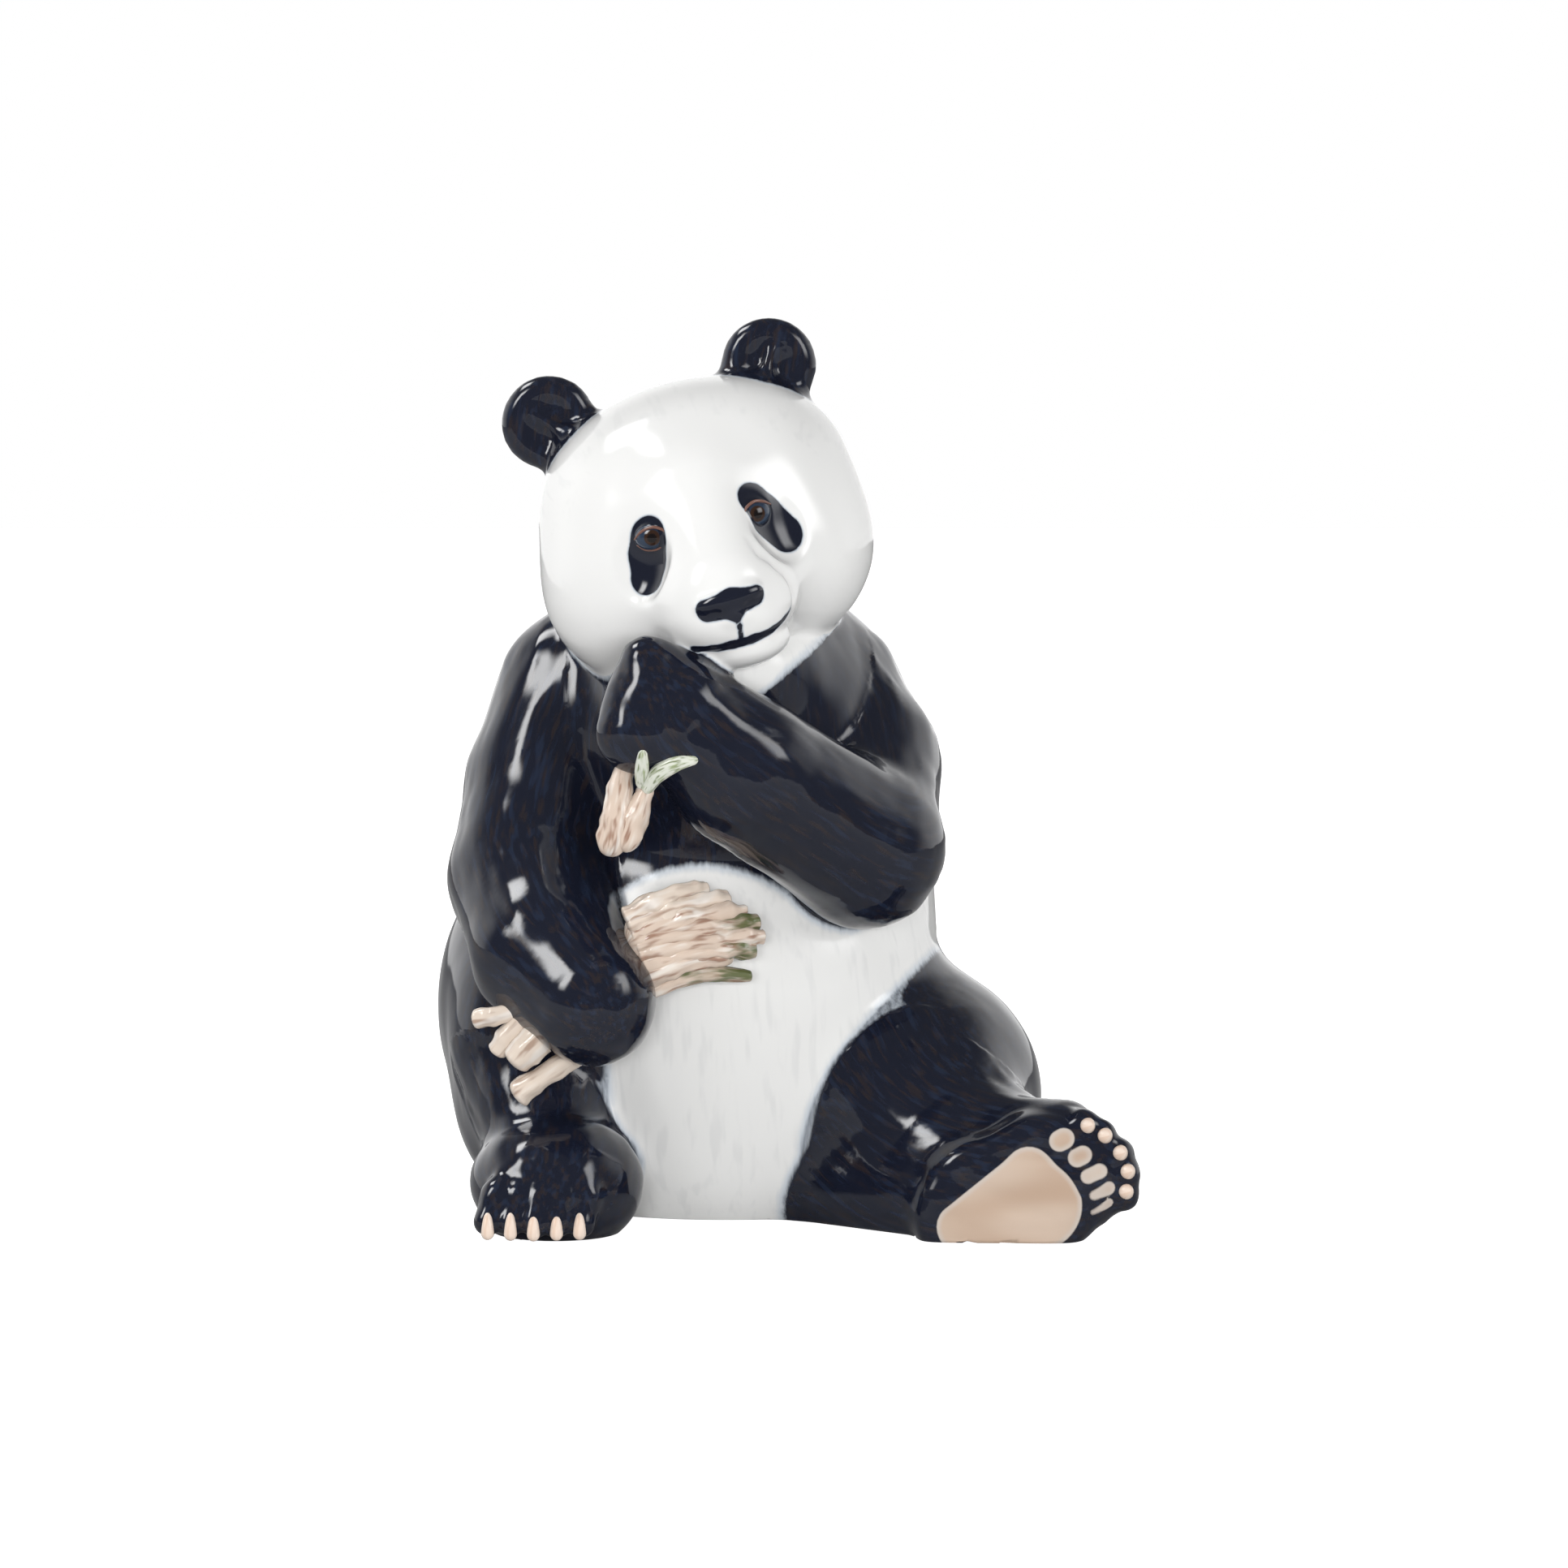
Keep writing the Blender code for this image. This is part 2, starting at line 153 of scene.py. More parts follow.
def blend_min(a: Array, b: Array, width: float) -> Array:
    """Smaller of two depths, rounded over where they differ by less than the width."""
    near = np.maximum(width - np.abs(a - b), 0.0) / width
    return np.minimum(a, b) - near * near * width / 4


def blend_max(a: Array, b: Array, width: float) -> Array:
    """Larger of two depths, rounded over where they differ by less than the width."""
    return -blend_min(-a, -b, width)


def ease(values: Array, start: float, end: float) -> Array:
    """Smooth step: 0 up to start, 1 from end on, with level ends."""
    share = np.clip((values - start) / (end - start), 0.0, 1.0)
    return share * share * (3 - 2 * share)


def lattice_noise(points: Array, seed: int = 0) -> Array:
    """Smooth noise between -1 and 1.

    Each corner of a unit lattice has a height from a hash of its whole coordinates. A point takes the
    heights of its eight corners, weighted by smooth steps of its place between them.

    Args:
        points: places, n by 3.
        seed: number that picks another field.

    Returns:
        Height at each place.
    """
    cell = np.floor(points).astype(np.int64)
    share = points - cell
    share = share * share * (3 - 2 * share)
    height = np.zeros(len(points))
    for corner in np.ndindex(2, 2, 2):
        key = (cell + corner) @ np.array(CORNER_PRIMES) + seed * SEED_PRIME
        key = (key ^ (key >> 13)) * MIX_PRIME & 0x7FFFFFFF
        value = (key ^ (key >> 16)) % 65536 / 32767.5 - 1
        weight = np.where(np.array(corner) == 1, share, 1 - share).prod(1)
        height += weight * value
    return height


@dataclass(frozen=True)
class Shell:
    """A closed mesh as arrays: points in millimetres, faces, brush coordinates and share of the length."""

    points: Array
    faces: Faces
    grain: Array
    run: Array


def closed_rings(rings: Array, start: Array, end: Array) -> Grid:
    """Join a grid of rings into a closed shell with a pole at each end.

    Point (i, j) of the grid is joined to (i + 1, j) and (i, j + 1), with j running round, and the first
    and the last ring are fanned to the poles.

    Args:
        rings: grid of points, rings by sides by 3, turning left round the way from start to end.
        start: pole before the first ring.
        end: pole after the last ring.

    Returns:
        Points, n by 3, and faces that point outwards.
    """
    count, sides = rings.shape[:2]
    points = np.vstack([rings.reshape(-1, 3), start[None], end[None]])
    here = np.arange(sides)
    after = (here + 1) % sides
    base = np.arange(count - 1)[:, None] * sides
    quads = np.stack([base + here, base + after, base + after + sides, base + here + sides], axis=-1)
    first = np.stack([np.full(sides, count * sides), after, here], axis=-1)
    last = np.stack([np.full(sides, count * sides + 1), here, after], axis=-1)
    last[:, 1:] += (count - 1) * sides
    faces = [tuple(face) for block in (quads.reshape(-1, 4), first, last) for face in block.tolist()]
    return points, faces


def ellipsoid_grid(centre: Array, radii: Array, turn: Array, rows: int = 18, sides: int = 28) -> Grid:
    """Ellipsoid as rings of latitude: radius times the cosine of the latitude, height times its sine.

    Args:
        centre: middle of the ellipsoid.
        radii: its half axes.
        turn: its rotation matrix.
        rows: rings between the poles.
        sides: points of a ring.

    Returns:
        Points and faces.
    """
    latitude = np.linspace(-math.pi / 2, math.pi / 2, rows + 2)[1:-1, None]
    round_way = np.linspace(0, 2 * math.pi, sides, endpoint=False)[None]
    sphere = np.stack(
        [
            np.cos(latitude) * np.cos(round_way),
            np.cos(latitude) * np.sin(round_way),
            np.sin(latitude) + 0 * round_way,
        ],
        axis=-1,
    )
    pole = np.array((0.0, 0.0, 1.0)) * radii @ turn.T
    return closed_rings(sphere * radii @ turn.T + centre, centre - pole, centre + pole)


def capsule_grid(start: Array, end: Array, rows: int = 12, sides: int = 20) -> Grid:
    """Cone between two balls, as rings that run over one ball's end, the cone and the other ball's end.

    Args:
        start: centre and radius of the first ball.
        end: centre and radius of the last ball.
        rows: rings between the poles.
        sides: points of a ring.

    Returns:
        Points and faces.
    """
    axis = unit(end[:3] - start[:3])
    across = unit(np.cross(axis, ASKEW))
    upright = np.cross(axis, across)
    quarter = np.radians(np.linspace(-90, 90, rows + 2))[1:-1]
    ball = np.where(quarter < 0, start[3], end[3])
    hub = np.where(quarter[:, None] < 0, start[:3], end[:3])
    centres = hub + (ball * np.sin(quarter))[:, None] * axis
    round_way = np.linspace(0, 2 * math.pi, sides, endpoint=False)
    ring = np.cos(round_way)[:, None] * across + np.sin(round_way)[:, None] * upright
    rings = centres[:, None] + (ball * np.cos(quarter))[:, None, None] * ring[None]
    return closed_rings(rings, start[:3] - start[3] * axis, end[:3] + end[3] * axis)


@dataclass
class Ball:
    """An ellipsoid of clay, or a hollow pressed into the clay below it."""

    centre: Point
    radii: Point
    turn: Point = (0.0, 0.0, 0.0)
    blend: float = 6.0
    hollow: bool = False
    carrier: Array | None = None

    def __post_init__(self) -> None:
        """Work out the ellipsoid's own turn and reach."""
        self.hub = np.array(self.centre, float)
        self.matrix = turned(*self.turn) if self.carrier is None else self.carrier @ turned(*self.turn)
        self.reach = max(self.radii)

    def depth(self, points: Array) -> Array:
        """Distance from the ellipsoid's surface, negative inside it.

        The distance is k0 (k0 - 1) / k1, with k0 the length of the place over the half axes, and k1 its
        length over their squares.

        Args:
            points: places, n by 3.

        Returns:
            Distances, n.
        """
        radii = np.array(self.radii)
        local = (points - self.hub) @ self.matrix
        scaled = np.sqrt(((local / radii) ** 2).sum(1))
        steep = np.sqrt(((local / radii**2) ** 2).sum(1))
        return scaled * (scaled - 1) / np.maximum(steep, 1e-6)

    def shells(self) -> list[Grid]:
        """Grid of the ellipsoid, or nothing for a hollow."""
        return [] if self.hollow else [ellipsoid_grid(self.hub, np.array(self.radii), self.matrix)]


@dataclass
class Limb:
    """A tapering, rounded roll of clay through stations (x, y, z, radius)."""

    stations: list[Station]
    blend: float = 4.0
    knee: float = 2.0
    hollow: bool = False

    def __post_init__(self) -> None:
        """Work out the ball round the whole roll."""
        self.path = np.array(self.stations, float)
        self.hub = self.path[:, :3].mean(0)
        self.reach = (np.linalg.norm(self.path[:, :3] - self.hub, axis=1) + self.path[:, 3]).max()

    def depth(self, points: Array) -> Array:
        """Distance from the roll's surface, negative inside it.

        Each stretch is a line whose radius changes evenly. Neighbouring stretches melt together.

        Args:
            points: places, n by 3.

        Returns:
            Distances, n.
        """
        nearest = None
        for start, end in zip(self.path[:-1], self.path[1:]):
            run = end[:3] - start[:3]
            share = np.clip(((points - start[:3]) @ run) / (run @ run), 0, 1)
            offset = points - start[:3] - share[:, None] * run
            shell = np.sqrt((offset**2).sum(1)) - start[3] - share * (end[3] - start[3])
            nearest = shell if nearest is None else blend_min(nearest, shell, self.knee)
        return nearest

    def shells(self) -> list[Grid]:
        """Grid of each stretch of the roll, or nothing for a groove."""
        stretches = zip(self.path[:-1], self.path[1:])
        return [] if self.hollow else [capsule_grid(start, end) for start, end in stretches]


@dataclass
class Slice:
    """A plane that planes off the clay in front of it, such as the sole of a foot."""

    point: Point
    facing: Point
    blend: float = 3.0

    def depth(self, points: Array) -> Array:
        """Height over the plane."""
        return (points - np.array(self.point)) @ unit(np.array(self.facing, float))

    def shells(self) -> list[Grid]:
        """A slice adds no clay."""
        return []


Form = Ball | Limb | Slice


def near_depth(form: Form, points: Array) -> Array:
    """A form's own depth close to it, and that of the sphere around it further off.

    Args:
        form: the form.
        points: places, n by 3.

    Returns:
        Depths, n.
    """
    if isinstance(form, Slice):
        return form.depth(points)
    depth = np.linalg.norm(points - form.hub, axis=1) - form.reach
    close = depth < FORM_REACH
    depth[close] = form.depth(points[close])
    return depth


def union_depth(forms: list[Form], points: Array) -> Array:
    """Depth of forms melted together, with hollows, grooves and slices taken out in their turn.

    Args:
        forms: the forms, from the first that is laid.
        points: places, n by 3.

    Returns:
        Depths, n.
    """
    depth = near_depth(forms[0], points)
    for form in forms[1:]:
        own = near_depth(form, points)
        if isinstance(form, Slice):
            depth = blend_max(depth, own, form.blend)
        elif form.hollow:
            depth = blend_max(depth, -own, form.blend)
        else:
            depth = blend_min(depth, own, form.blend)
    return depth


def smooth_path(stations: Array, count: int) -> Array:
    """Smooth curve through stations, as a Catmull-Rom curve read at even steps of its parameter.

    Args:
        stations: points with any further values, n by m.
        count: how many places to read.

    Returns:
        Places on the curve, count by m.
    """
    padded = np.vstack([2 * stations[0] - stations[1], stations, 2 * stations[-1] - stations[-2]])
    place = np.linspace(0, len(stations) - 1, count)
    knot = np.minimum(place.astype(int), len(stations) - 2)
    t = (place - knot)[:, None]
    before, here, there, beyond = (padded[knot + step] for step in range(4))
    bend = 2 * before - 5 * here + 4 * there - beyond
    swing = 3 * here - before - 3 * there + beyond
    return here + 0.5 * t * (there - before + t * (bend + t * swing))


def carried_frames(centres: Array) -> tuple[Array, Array, Array]:
    """Frames carried along a path without twist, from station to station.

    Args:
        centres: path, n by 3.

    Returns:
        Way along, across and upright at each station, each n by 3.
    """
    along = unit(np.gradient(centres, axis=0))
    across = np.empty_like(along)
    across[0] = unit(np.cross(along[0], ASKEW))
    for index in range(1, len(along)):
        across[index] = across[index - 1] - (across[index - 1] @ along[index]) * along[index]
        across[index] /= np.linalg.norm(across[index])
    return along, across, np.cross(along, across)


def grain_along(path: list[Point], points: Array, stretch: float = 0.16) -> Array:
    """Coordinates in which a brush stroke along a path is short and one across it is long.

    Each point takes the nearest of even stations on the path, and is given by its offsets across and
    upright there and by its length along the path, shortened by the stretch.

    Args:
        path: middle line of the limb.
        points: places, n by 3.
        stretch: share of the length along the path that counts.

    Returns:
        Coordinates, n by 3, in millimetres.
    """
    centres = smooth_path(np.array(path, float), STROKE_STATIONS)
    along, across, upright = carried_frames(centres)
    length = np.r_[0, np.cumsum(np.linalg.norm(np.diff(centres, axis=0), axis=1))]
    nearest = np.zeros(len(points), int)
    best = np.full(len(points), np.inf)
    for index, centre in enumerate(centres):
        gap = ((points - centre) ** 2).sum(1)
        closer = gap < best
        nearest[closer] = index
        best[closer] = gap[closer]
    offset = points - centres[nearest]
    run = length[nearest] + (offset * along[nearest]).sum(1)
    side = (offset * across[nearest]).sum(1)
    rise = (offset * upright[nearest]).sum(1)
    return np.stack([side, rise, run * stretch], axis=1)


@dataclass
class Member:
    """A part of the body: its forms, how it melts into what is below it, and its brush strokes."""

    name: str
    forms: list[Form]
    join: float
    strokes: list[Point]
    ripple: float = 0.40

    def depth(self, points: Array) -> Array:
        """Distance from the member's surface, negative inside it."""
        return union_depth(self.forms, points)


@dataclass
class Torso:
    """Sitting body: seat, belly, back, chest and shoulders, haunches and a short tail."""

    seat: Point = (-11, 22, 22)
    belly: Point = (-13, 8, 48)
    back: Point = (-14, 26, 66)
    chest: Point = (-16, 14, 94)
    shoulder_height: float = 100.0

    def member(self) -> Member:
        """Forms of the torso, with strokes that run up and down.

        Returns:
            The member.
        """
        forms = [
            Ball(self.seat, (47, 40, 34)),
            Ball((-12, 14, 20), (42, 34, 32), blend=12),
            Ball(self.belly, (43, 36, 36), blend=12),
            Ball(self.back, (44, 34, 44), blend=12),
            Ball(self.chest, (36, 30, 32), blend=12),
            Ball((-38, 10, self.shoulder_height), (17, 19, 20), blend=10),
            Ball((6, 10, self.shoulder_height), (17, 19, 20), blend=10),
            Ball((-16, 4, 118), (26, 22, 14), blend=8),
            Ball((-10, -8, 98), (26, 21, 24), blend=12),
            Ball((-14, -18, 112), (19, 16, 11), blend=8),
            Ball((-48, 12, 40), (22, 34, 32), blend=8),
            Ball((-50, -8, 42), (14, 14, 14), blend=6),
            Ball((-48, 0, 20), (17.5, 22, 18), blend=6),
            Ball((27, 8, 22), (25, 32, 26), blend=8),
            Ball((-12, 60, 15), (8, 7, 8), blend=5),
        ]
        return Member("torso", forms, 0.0, [(-12, 20, 0), (-13, 14, 60), (-16, 8, 125)], ripple=0.08)


@dataclass
class LeftFoot:
    """Shin and foot set flat on the ground, with five toes in a row and a claw on each."""

    toes: int = 5
    toe_pitch: float = 4.5
    row_middle: float = -49.0
    claw_front: float = -47.4
    claw_rise: tuple[Point, ...] = ((0.9, 6.6, 0.5), (-0.6, 4.8, 1.0), (-1.1, 2.5, 1.3), (-1.0, 1.2, 1.1))

    def steps(self) -> list[int]:
        """Places of the toes from the middle one."""
        return list(range(-(self.toes // 2), self.toes // 2 + 1))

    def member(self) -> Member:
        """Forms of the shin, the foot and its toes, with strokes down to the toes.

        Returns:
            The member.
        """
        forms: list[Form] = [
            Limb([(-52, -9, 33, 13.5), (-48, -19, 20, 12)], blend=5),
            Ball((-45, -28, 9.5), (17, 17.5, 14), blend=3),
        ]
        for step in self.steps():
            root = (-45.5 + 3.7 * step, -38, 14 - 0.5 * abs(step), 3.2)
            knuckle = (-47.5 + 4.3 * step, -43.2 + 0.7 * abs(step), 9, 3.1)
            tip = (self.row_middle + self.toe_pitch * step, -45.6 + 0.8 * abs(step), 4.4, 2.9)
            forms.append(Limb([root, knuckle, tip], blend=1.0))
        return Member("left_leg", forms, 5.0, [(-48, 0, 50), (-46, -20, 22), (-48, -50, 4)])

    def claw_paths(self) -> list[list[Station]]:
        """Stations of each claw, from inside its toe down to the ground.

        Returns:
            Stations by claw, from the left.
        """
        paths = []
        for step in self.steps():
            x = self.row_middle + self.toe_pitch * step
            y = self.claw_front + 0.8 * abs(step)
            paths.append([(x, y + out, height, radius) for out, height, radius in self.claw_rise])
        return paths

    def build(self, glaze: bpy.types.Material) -> None:
        """Lay and dress the claws."""
        build_claws("claw_left", self.claw_paths(), glaze)


@dataclass
class RightFoot:
    """Thigh laid outward and a foot on its heel, its sole to the viewer and five toes at its far end."""

    toe_places: tuple[tuple[float, float], ...] = (
        (58.6, 22.4),
        (62.0, 20.4),
        (65.0, 17.0),
        (66.5, 13.3),
        (66.2, 9.3),
    )
    sole_face: float = -43.6
    claw_run: tuple[Station, ...] = ((0.4, -41.6, 0.5, 1.2), (1.0, -43.2, 0.9, 1.55), (1.8, -44.4, 1.1, 1.1))

    def member(self) -> Member:
        """Forms of the thigh, the foot and its toes, with strokes out along the leg.

        Returns:
            The member.
        """
        forms: list[Form] = [
            Limb([(24, -8, 22, 21), (34, -20, 15, 16)], blend=6),
            Limb([(36, -16, 17, 12.5), (55, -27, 13.5, 9.5)], blend=5),
            Limb([(12, -8, 8, 14), (36, -31, 8, 12)], blend=5),
            Limb([(40, -38.5, 9.2, 10.9), (50, -38, 12.6, 11.8), (56, -37.5, 13.4, 10.4)], blend=4),
            Limb([(44, -28, 19, 7.5), (55, -33, 20, 6.8)], blend=4),
            Limb([(33, -38, 3, 7), (52, -38, 3, 7)], blend=4),
            Limb([(50, -38, 4, 7), (59.5, -37.5, 8.6, 6.6)], blend=3),
            Slice((47, self.sole_face, 10), (-0.06, -1, 0.03), 2.6),
        ]
        for x, z in self.toe_places:
            forms.append(Limb([(x - 4, -35, z - 1.5, 4.0), (x, -39.6, z, 3.6)], blend=1.2))
        return Member("right_leg", forms, 6.0, [(14, 0, 40), (30, -18, 20), (66, -36, 14)])

    def claw_paths(self) -> list[list[Station]]:
        """Stations of each claw, from inside its toe out past the tip.

        Returns:
            Stations by claw, from the top.
        """
        paths = []
        for x, z in self.toe_places:
            paths.append([(x + right, y, z + rise, radius) for right, y, rise, radius in self.claw_run])
        return paths

    def build(self, glaze: bpy.types.Material) -> None:
        """Lay and dress the claws."""
        build_claws("claw_right", self.claw_paths(), glaze)

    def pads(self) -> list[Form]:
        """Painted areas of the sole and of the toe pads.

        Returns:
            Rolls whose cut with the skin is the area.
        """
        face = self.sole_face + 0.6
        areas: list[Form] = [
            Limb([(34.5, face, 3.2, 4.6), (48.0, face, 14.4, 4.5), (49.2, face, 7.6, 8.8)], blend=1, knee=1),
            Limb([(36.0, face, 2.0, 4.6), (49.2, face, 7.6, 8.8)], blend=2),
        ]
        centres = (
            (54.4, 20.4, 2.20, 0.4),
            (58.0, 17.2, 2.15, 0.5),
            (60.6, 13.8, 1.95, 1.0),
            (62.0, 10.3, 1.60, 1.3),
            (62.0, 7.2, 1.00, 1.6),
        )
        for x, z, radius, half in centres:
            rise = 0.5 * half
            ends = [(x - half, face, z - rise, radius), (x + half, face, z + rise, radius)]
            areas.append(Limb(ends, blend=0.3))
        return areas


@dataclass
class Arms:
    """Left arm bent down onto the bamboo, right arm folded back up to the mouth."""

    left: tuple[Station, ...] = (
        (-41, 8, 104, 16.5),
        (-47.5, 1, 86, 16),
        (-50.5, -10, 68, 16.2),
        (-46.5, -26, 55.5, 15.2),
        (-37.5, -38, 47, 12.5),
    )
    upper_right: tuple[Station, ...] = ((6, 8, 103, 17), (13.5, -2, 90, 17.5), (15.5, -20, 76, 15.5))
    fore_right: tuple[Station, ...] = ((15.5, -24, 76, 15.5), (-8, -40, 93, 14.3), (-20, -44, 104, 12))
    paw_right: tuple[Station, ...] = ((-26.5, -47, 114.4, 5.5), (-28.8, -48, 101.6, 8))

    def members(self) -> list[Member]:
        """Both arms, with strokes that run down them.

        Returns:
            The left arm and the right one.
        """
        folded = (*self.upper_right[:2], *self.fore_right, self.paw_right[0])
        right = [Limb(list(line)) for line in (self.upper_right, self.fore_right)]
        right.append(Limb(list(self.paw_right), blend=6))
        return [
            Member("left_arm", [Limb(list(self.left))], 2.0, [station[:3] for station in self.left]),
            Member("right_arm", right, 2.0, [station[:3] for station in folded]),
        ]


def head_ball(
    centre: Point, radii: Point, turn: Point = (0, 0, 0), blend: float = 6.0, hollow: bool = False
) -> Ball:
    """A ball placed and turned with the head.

    Args:
        centre: its middle, from the centre of the skull.
        radii: its half axes.
        turn: its pitch, yaw and roll on the head, in degrees.
        blend: width over which it melts in.
        hollow: whether it is pressed in.

    Returns:
        The ball.
    """
    return Ball(on_head(*centre), radii, turn, blend, hollow, HEAD_TURN)


@dataclass
class Head:
    """Broad skull, cheeks, muzzle over the lower jaw, eye hollows and the nose."""

    skull: Point = (31.5, 28, 28)
    muzzle: Point = (0.3, -23, -8.5)
    left_eye: Point = (-10.6, -26.2, 5.7)
    right_eye: Point = (10.1, -27.3, 5.3)
    left_yaw: float = -34.0
    right_yaw: float = 32.0
    fold: tuple[Station, ...] = (
        (7.6, -35.6, 2.2, 0.2),
        (9.4, -36.8, -0.9, 0.9),
        (12.2, -35.8, -3.8, 1.3),
        (14.4, -34.2, -7.4, 1.4),
        (14.8, -33.4, -10.6, 1.4),
        (13.6, -34.2, -13.6, 1.1),
    )

    def member(self) -> Member:
        """Forms of the head, with strokes that run back from the nose.

        Returns:
            The member.
        """
        forms: list[Form] = [
            head_ball((0.8, 0, 0), self.skull),
            head_ball((2, 4, 10.5), (29.5, 24, 19), blend=8),
            head_ball((-15, -4.5, -7.5), (17, 19, 16.5), blend=8),
            head_ball((15.2, -3, -6), (17.2, 19, 17), blend=8),
            head_ball(self.muzzle, (15.5, 18, 12), blend=8),
            head_ball((0.4, -33, -11.5), (11.5, 10.8, 7.6), blend=5),
            Limb(head_stations(((0, -18, 9, 10.5), (0, -33.5, -5, 8))), blend=7),
            head_ball((1.6, -30, -18.6), (9.5, 10.2, 4.6), blend=1.2),
            head_ball((-14.2, -29.4, 3.4), (7.0, 4.4, 9.2), turn=(0, -44, 14), blend=1.8, hollow=True),
            head_ball((14.8, -30.1, 3.6), (7.0, 4.4, 9.4), turn=(0, 42, -16), blend=1.8, hollow=True),
            head_ball(self.left_eye, (3.3, 2.3, 2.5), turn=(0, self.left_yaw, 0), blend=0.8),
            head_ball(self.right_eye, (3.3, 2.3, 2.5), turn=(0, self.right_yaw, 0), blend=0.8),
            head_ball((0.4, -42.0, -7.4), (7.0, 3.6, 2.6), turn=(0, 0, -4), blend=1.0),
            head_ball((0.5, -42.6, -10.2), (3.8, 2.5, 3.2), blend=0.9),
            head_ball((-3.0, -45.2, -10.0), (1.7, 1.2, 1.1), turn=(0, 0, 20), blend=0.9, hollow=True),
            head_ball((4.0, -45.0, -9.8), (1.7, 1.2, 1.1), turn=(0, 0, -20), blend=0.9, hollow=True),
            Limb(head_stations(self.fold), blend=1.6, hollow=True),
        ]
        strokes = [on_head(0, -44, -8), on_head(0, 0, 0), on_head(0, 30, 8)]
        return Member("head", forms, 2.0, strokes, ripple=0.03)

    def patches(self) -> list[Form]:
        """Painted eye patches, nose, philtrum and mouth.

        Returns:
            Rolls whose cut with the skin is the area.
        """
        left = ((-13.0, -25.9, -1.8, 3.8), (-11.8, -25.9, 1.9, 4.6), (-10.9, -26.6, 5.4, 4.6))
        right = ((15.0, -25.6, -0.2, 3.9), (12.4, -27.2, 4.4, 4.4), (10.4, -27.0, 7.6, 3.9))
        nose = ((-4.4, -43.2, -8.6, 2.3), (0.6, -44.4, -8.2, 2.9), (5.2, -43.2, -7.9, 2.1))
        nose_foot = ((0.4, -44.2, -9.6, 2.4), (0.9, -43.6, -12.2, 0.9))
        philtrum = ((0.9, -44.2, -13.0, 0.45), (0.8, -42.6, -15.4, 0.5))
        mouth = (
            (-8.4, -38.0, -16.2, 0.9),
            (-4.6, -40.0, -16.8, 1.25),
            (-1.2, -41.3, -16.7, 1.35),
            (3.2, -41.2, -16.5, 1.3),
            (7.2, -39.4, -15.9, 1.05),
            (10.2, -37.8, -14.6, 0.6),
            (12.4, -35.6, -12.8, 0.2),
        )
        lines = (left, right, nose, nose_foot, philtrum, mouth)
        return [Limb(head_stations(line), blend=0.6, knee=0.6) for line in lines]


@dataclass
class Ears:
    """Two round ears, each a disc pressed hollow in front, with a fold that runs down to its root."""

    discs: tuple[tuple[Point, float], ...] = (((-47, 0, 158.6), -40.0), ((-3, 0, 170.2), 8.0))
    disc_radii: Point = (9.4, 4.6, 9.2)
    hollow_radii: Point = (6.4, 3.6, 6.6)

    def member(self) -> Member:
        """Forms of both ears and of their roots in the skull.

        Returns:
            The member.
        """
        forms: list[Form] = [
            Ball(centre, self.disc_radii, turn=(0, 0, lean), blend=1) for centre, lean in self.discs
        ]
        for (x, y, z), lean in self.discs:
            forms.append(Ball((x, y - 5.2, z), self.hollow_radii, turn=(0, 0, lean), blend=2, hollow=True))
        forms += [
            Limb([(-50, -3.0, 160.6, 0.8), (-43.5, -3.4, 156.6, 1.2), (-40, -4, 154.6, 1.6)], blend=1.2),
            Limb([(-2.4, -3.0, 173.6, 0.8), (-4.0, -3.4, 167.5, 1.2), (-4.8, -4, 163, 1.6)], blend=1.2),
            Ball((-40.5, 2, 153), (6, 5, 5), blend=4),
            Ball((-5, 2, 161.5), (7, 5, 4.5), blend=4),
        ]
        return Member("ears", forms, 4.0, [(-30, 0, 140), (-25, 0, 185)], ripple=0.04)


